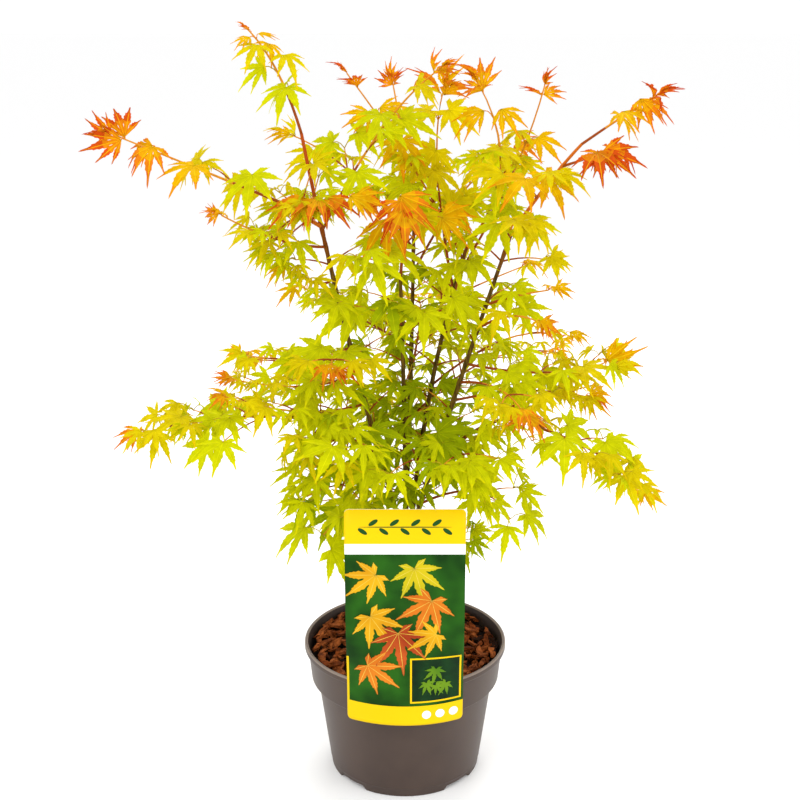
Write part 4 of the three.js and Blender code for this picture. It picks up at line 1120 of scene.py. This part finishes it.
def growFinerTwigs(curve, parent, places, lobe, tint, facing, massSeed):
    tip = curve[2]
    length = (tip - curve[0]).length
    more = finer["lowerMore"] if tip.z < finer["lowerTiers"] else 0
    stops = [finer["start"] if parent != "trunk" else finer["trunkStart"]] + places
    for k, (low, high) in enumerate(zip(stops, stops[1:])):
        share = mix(low, high, 0.5)
        if (high - low) * length < finer["least"] or share > finer["until"] + more:
            continue
        side, _ = across(curveTangent(curve, share))
        for hand in (1, -1):
            if chance(massSeed + k, 50 + hand) > finer["share"] + more:
                continue
            spot = spotOn(curve, share, side * hand, mix(*lobe, share) * finer["leaf"], facing)
            growSideTwig(spot, mix(*tint, finer["tint"] * share ** 2), massSeed + 41 + k + 0.5 * hand,
                         finer["reach"], True)


def growMass(index, row):
    # a twig with its pairs of leaves, and what stands at its end and between them
    name, parent, at, middle, tip, first, pairs, lobe, tint, hang, forks = row
    h = massHabit
    parentCurve, parentRadius = limbs[parent]
    curve = arch(alongCurve(parentCurve, at), Vector(middle), Vector(tip))
    foot = parentRadius(1) if at == 1 else h["foot"]
    twigs.append((curve, lambda share: mix(foot, h["tip"], share), tint[1]))
    facing = 1 if tip[1] > leafHabit["faceBackBeyond"] else -1
    massSeed = 50 * (index + 1)
    spots = leafSpots(curve, first, pairs, lobe, hang, index + 1, facing)
    for i, spot in enumerate(spots):
        share = 1 if pairs == 1 else spot["pair"] / (pairs - 1)
        leafTint = mix(*tint, share ** mix(*h["tintCurve"], min(1, hang / h["tintHang"])))
        if spot["pair"] < forks and spot["hand"] == (1 if spot["pair"] % 2 else -1):
            growSideTwig(spot, leafTint, massSeed + i)
        else:
            placeLeaf(spot, leafTint, massSeed + i)
    if pairs > 1:
        placeLeaf(endSpot(curve, leafHabit["tipLeaf"] * lobe[1], hang, facing), tint[1], massSeed + 40)
    if pairs == 1 and tint[1] > clusterHabit["tintFrom"]:
        growCluster(curve, lobe[1], tint[1], hang, facing, massSeed + 44)
    if pairs > 1 and hang < budHabit["hangBelow"]:
        growBuds(curve, budHabit["leaf"] * lobe[1], tint[1], facing, massSeed + 42)
    growFinerTwigs(curve, parent, sorted({spot["at"] for spot in spots}), lobe, tint, facing, massSeed)


spurs = {
    "step": 0.115, "lowStep": 0.6, "lowUntil": 0.4, "swing": 60, "along": 0.3, "opensAt": 285,
    "leaf": 36, "spread": (0.85, 1.1), "reach": 0.95, "tint": 0.6, "backward": 0.5,
}


def growSpurs(index, name, low, high, front):
    # short twigs in crossed pairs along a stem, each with its leaves
    s = spurs
    curve, _ = limbs[name]
    share = low
    pair = 0
    while share < high:
        turn = math.radians(90 * (pair % 2) + s["swing"] * (chance(900 + index, pair) - 0.5))
        outward = sideways(curveTangent(curve, share), turn)
        for hand in (1, -1):
            seed = 3000 + 100 * index + 4 * pair + hand
            away = outward * hand
            if away.y < front and curve[0].lerp(curve[2], share).z > s["opensAt"]:
                continue
            lobe = s["leaf"] * mix(*s["spread"], chance(seed, 8))
            spot = spotOn(curve, share, away, lobe, 1 if away.y > s["backward"] else -1)
            spot["tangent"] *= s["along"]
            growSideTwig(spot, 1 + s["tint"] * chance(seed, 9), seed, s["reach"], True)
        share += s["step"] * (s["lowStep"] if share < s["lowUntil"] else 1)
        pair += 1


for index, row in enumerate(massRows):
    growMass(index, row)
for index, row in enumerate(spurRows):
    growSpurs(index, *row)
print(len(leaves), "leaves", len(twigs), "twigs", len(dropped), "spots without room")


twigSizes = {
    "sides": 6, "longFrom": 60, "longSteps": 10, "shortSteps": 5, "longTurn": 0.95, "earlier": 0.12,
    "shortTurn": 0.6, "stalk": (0.5, 0.4), "stalkSides": 4, "stalkSteps": 3, "amberFrom": 2.4,
}


def plainTwig(name, hexColour):
    # a young shoot's skin: smooth, taut and slightly waxy
    material, tree = blankMaterial(name)
    place = addNode(tree, "ShaderNodeTexCoord").outputs["Object"]
    mottle = addNode(tree, "ShaderNodeTexNoise", {"Scale": 260, "Detail": 3}, {"Vector": place})
    tone = addNode(tree, "ShaderNodeMapRange", {"To Min": 0.75, "To Max": 1.25},
                   {"Value": mottle.outputs["Fac"]})
    colour = addNode(tree, "ShaderNodeHueSaturation", {"Color": linear(hexColour)},
                     {"Value": tone.outputs["Result"]})
    skin = addNode(tree, "ShaderNodeBsdfPrincipled", {"Roughness": 0.6, "Specular IOR Level": 0.12},
                   {"Base Color": colour.outputs["Color"]})
    return surfaced(material, skin)


def buildTwigs():
    # red-brown near the older wood and golden where the shoot still grows
    s = twigSizes
    bm = bmesh.new()
    for curve, radiusAt, tint in twigs:
        steps, turns = s["shortSteps"], s["shortTurn"]
        if (curve[2] - curve[0]).length > s["longFrom"]:
            steps, turns = s["longSteps"], s["longTurn"] - s["earlier"] * tint
        joinTube(bm, curve, radiusAt, s["sides"], steps, turns=turns)
    finishPiece("young_twigs", bm, [
        plainTwig("redTwigSkin", "#96460C"), plainTwig("goldenTwigSkin", "#CC861A")],
        [row[0] for row in massRows])
    bm = bmesh.new()
    for curve, tint in stalks:
        joinTube(bm, curve, lambda share: mix(*s["stalk"], share), s["stalkSides"], s["stalkSteps"],
                 slot=0 if tint < s["amberFrom"] else 1)
    finishPiece("leaf_stalks", bm, [
        plainTwig("limeStalkSkin", "#B8A010"), plainTwig("amberStalkSkin", "#D88418")])


# how a leaf's tint shifts by chance, toward the top, and back to green in the shade of the crown's core
tintShift = {
    "start": 0.2, "slope": 0.9, "spread": 0.9, "middle": 0.45, "core": 110, "low": (300, 520),
    "high": (480, 600), "highMore": 0.3, "coreLess": 1.9, "coreHigh": 0.4, "coreLow": 0.6,
}
leafFit = {
    "slimYouth": 0.4, "slimTint": 2.8, "grownFrom": 33, "width": (0.92, 1.08), "drop": (0.7, 1.5),
    "youngDrop": 1.3, "parts": ("LeafBlade", "LeafPalm", "LeafTip", "LeafVein"),
}


def tintOf(leaf):
    s = tintShift
    shift = s["start"] + s["slope"] * leaf["tint"] + s["spread"] * (chance(leaf["seed"], 11) - s["middle"])
    inner = 1 - min(1, math.hypot(leaf["base"].x, leaf["base"].y) / s["core"])
    low = 1 - smoothStep(*s["low"], leaf["base"].z)
    high = smoothStep(*s["high"], leaf["base"].z)
    shift += s["highMore"] * high - s["coreLess"] * inner * (s["coreHigh"] + s["coreLow"] * low)
    return min(len(tints) - 1, max(0, round(shift)))


def buildLeaves():
    f = leafFit
    groups = [[] for _ in tints]
    for leaf in leaves:
        groups[tintOf(leaf)].append(leaf)
    for group, (name, slot, *colours) in zip(groups, tints):
        bm = bmesh.new()
        for leaf in group:
            slim = leaf["youth"] > f["slimYouth"] or leaf["tint"] > f["slimTint"]
            kind = "young" if slim else "grown" if leaf["length"] > f["grownFrom"] else "middling"
            shapes = leafShapes[leaf["kind"] or kind]
            shape = shapes[int(len(shapes) * chance(leaf["seed"], 12))]
            turn = Matrix((leaf["side"], leaf["forward"], leaf["normal"])).transposed().to_4x4()
            size = leaf["length"]
            width = size * mix(*f["width"], chance(leaf["seed"], 13))
            drop = size * mix(*f["drop"], chance(leaf["seed"], 14)) * mix(1, f["youngDrop"], leaf["youth"])
            place = Matrix.Translation(leaf["base"])
            joinCopy(bm, shape, place @ turn @ Matrix.Diagonal((width, size, drop, 1)))
        blades = [leafBlade(name + part, colour) for part, colour in zip(f["parts"], colours)]
        finishPiece(name + "_leaves", bm, blades)


buildTwigs()
buildLeaves()
buildCard()
printLeaves()
discard(tubes.values())
for shapes in leafShapes.values():
    discard(shapes)
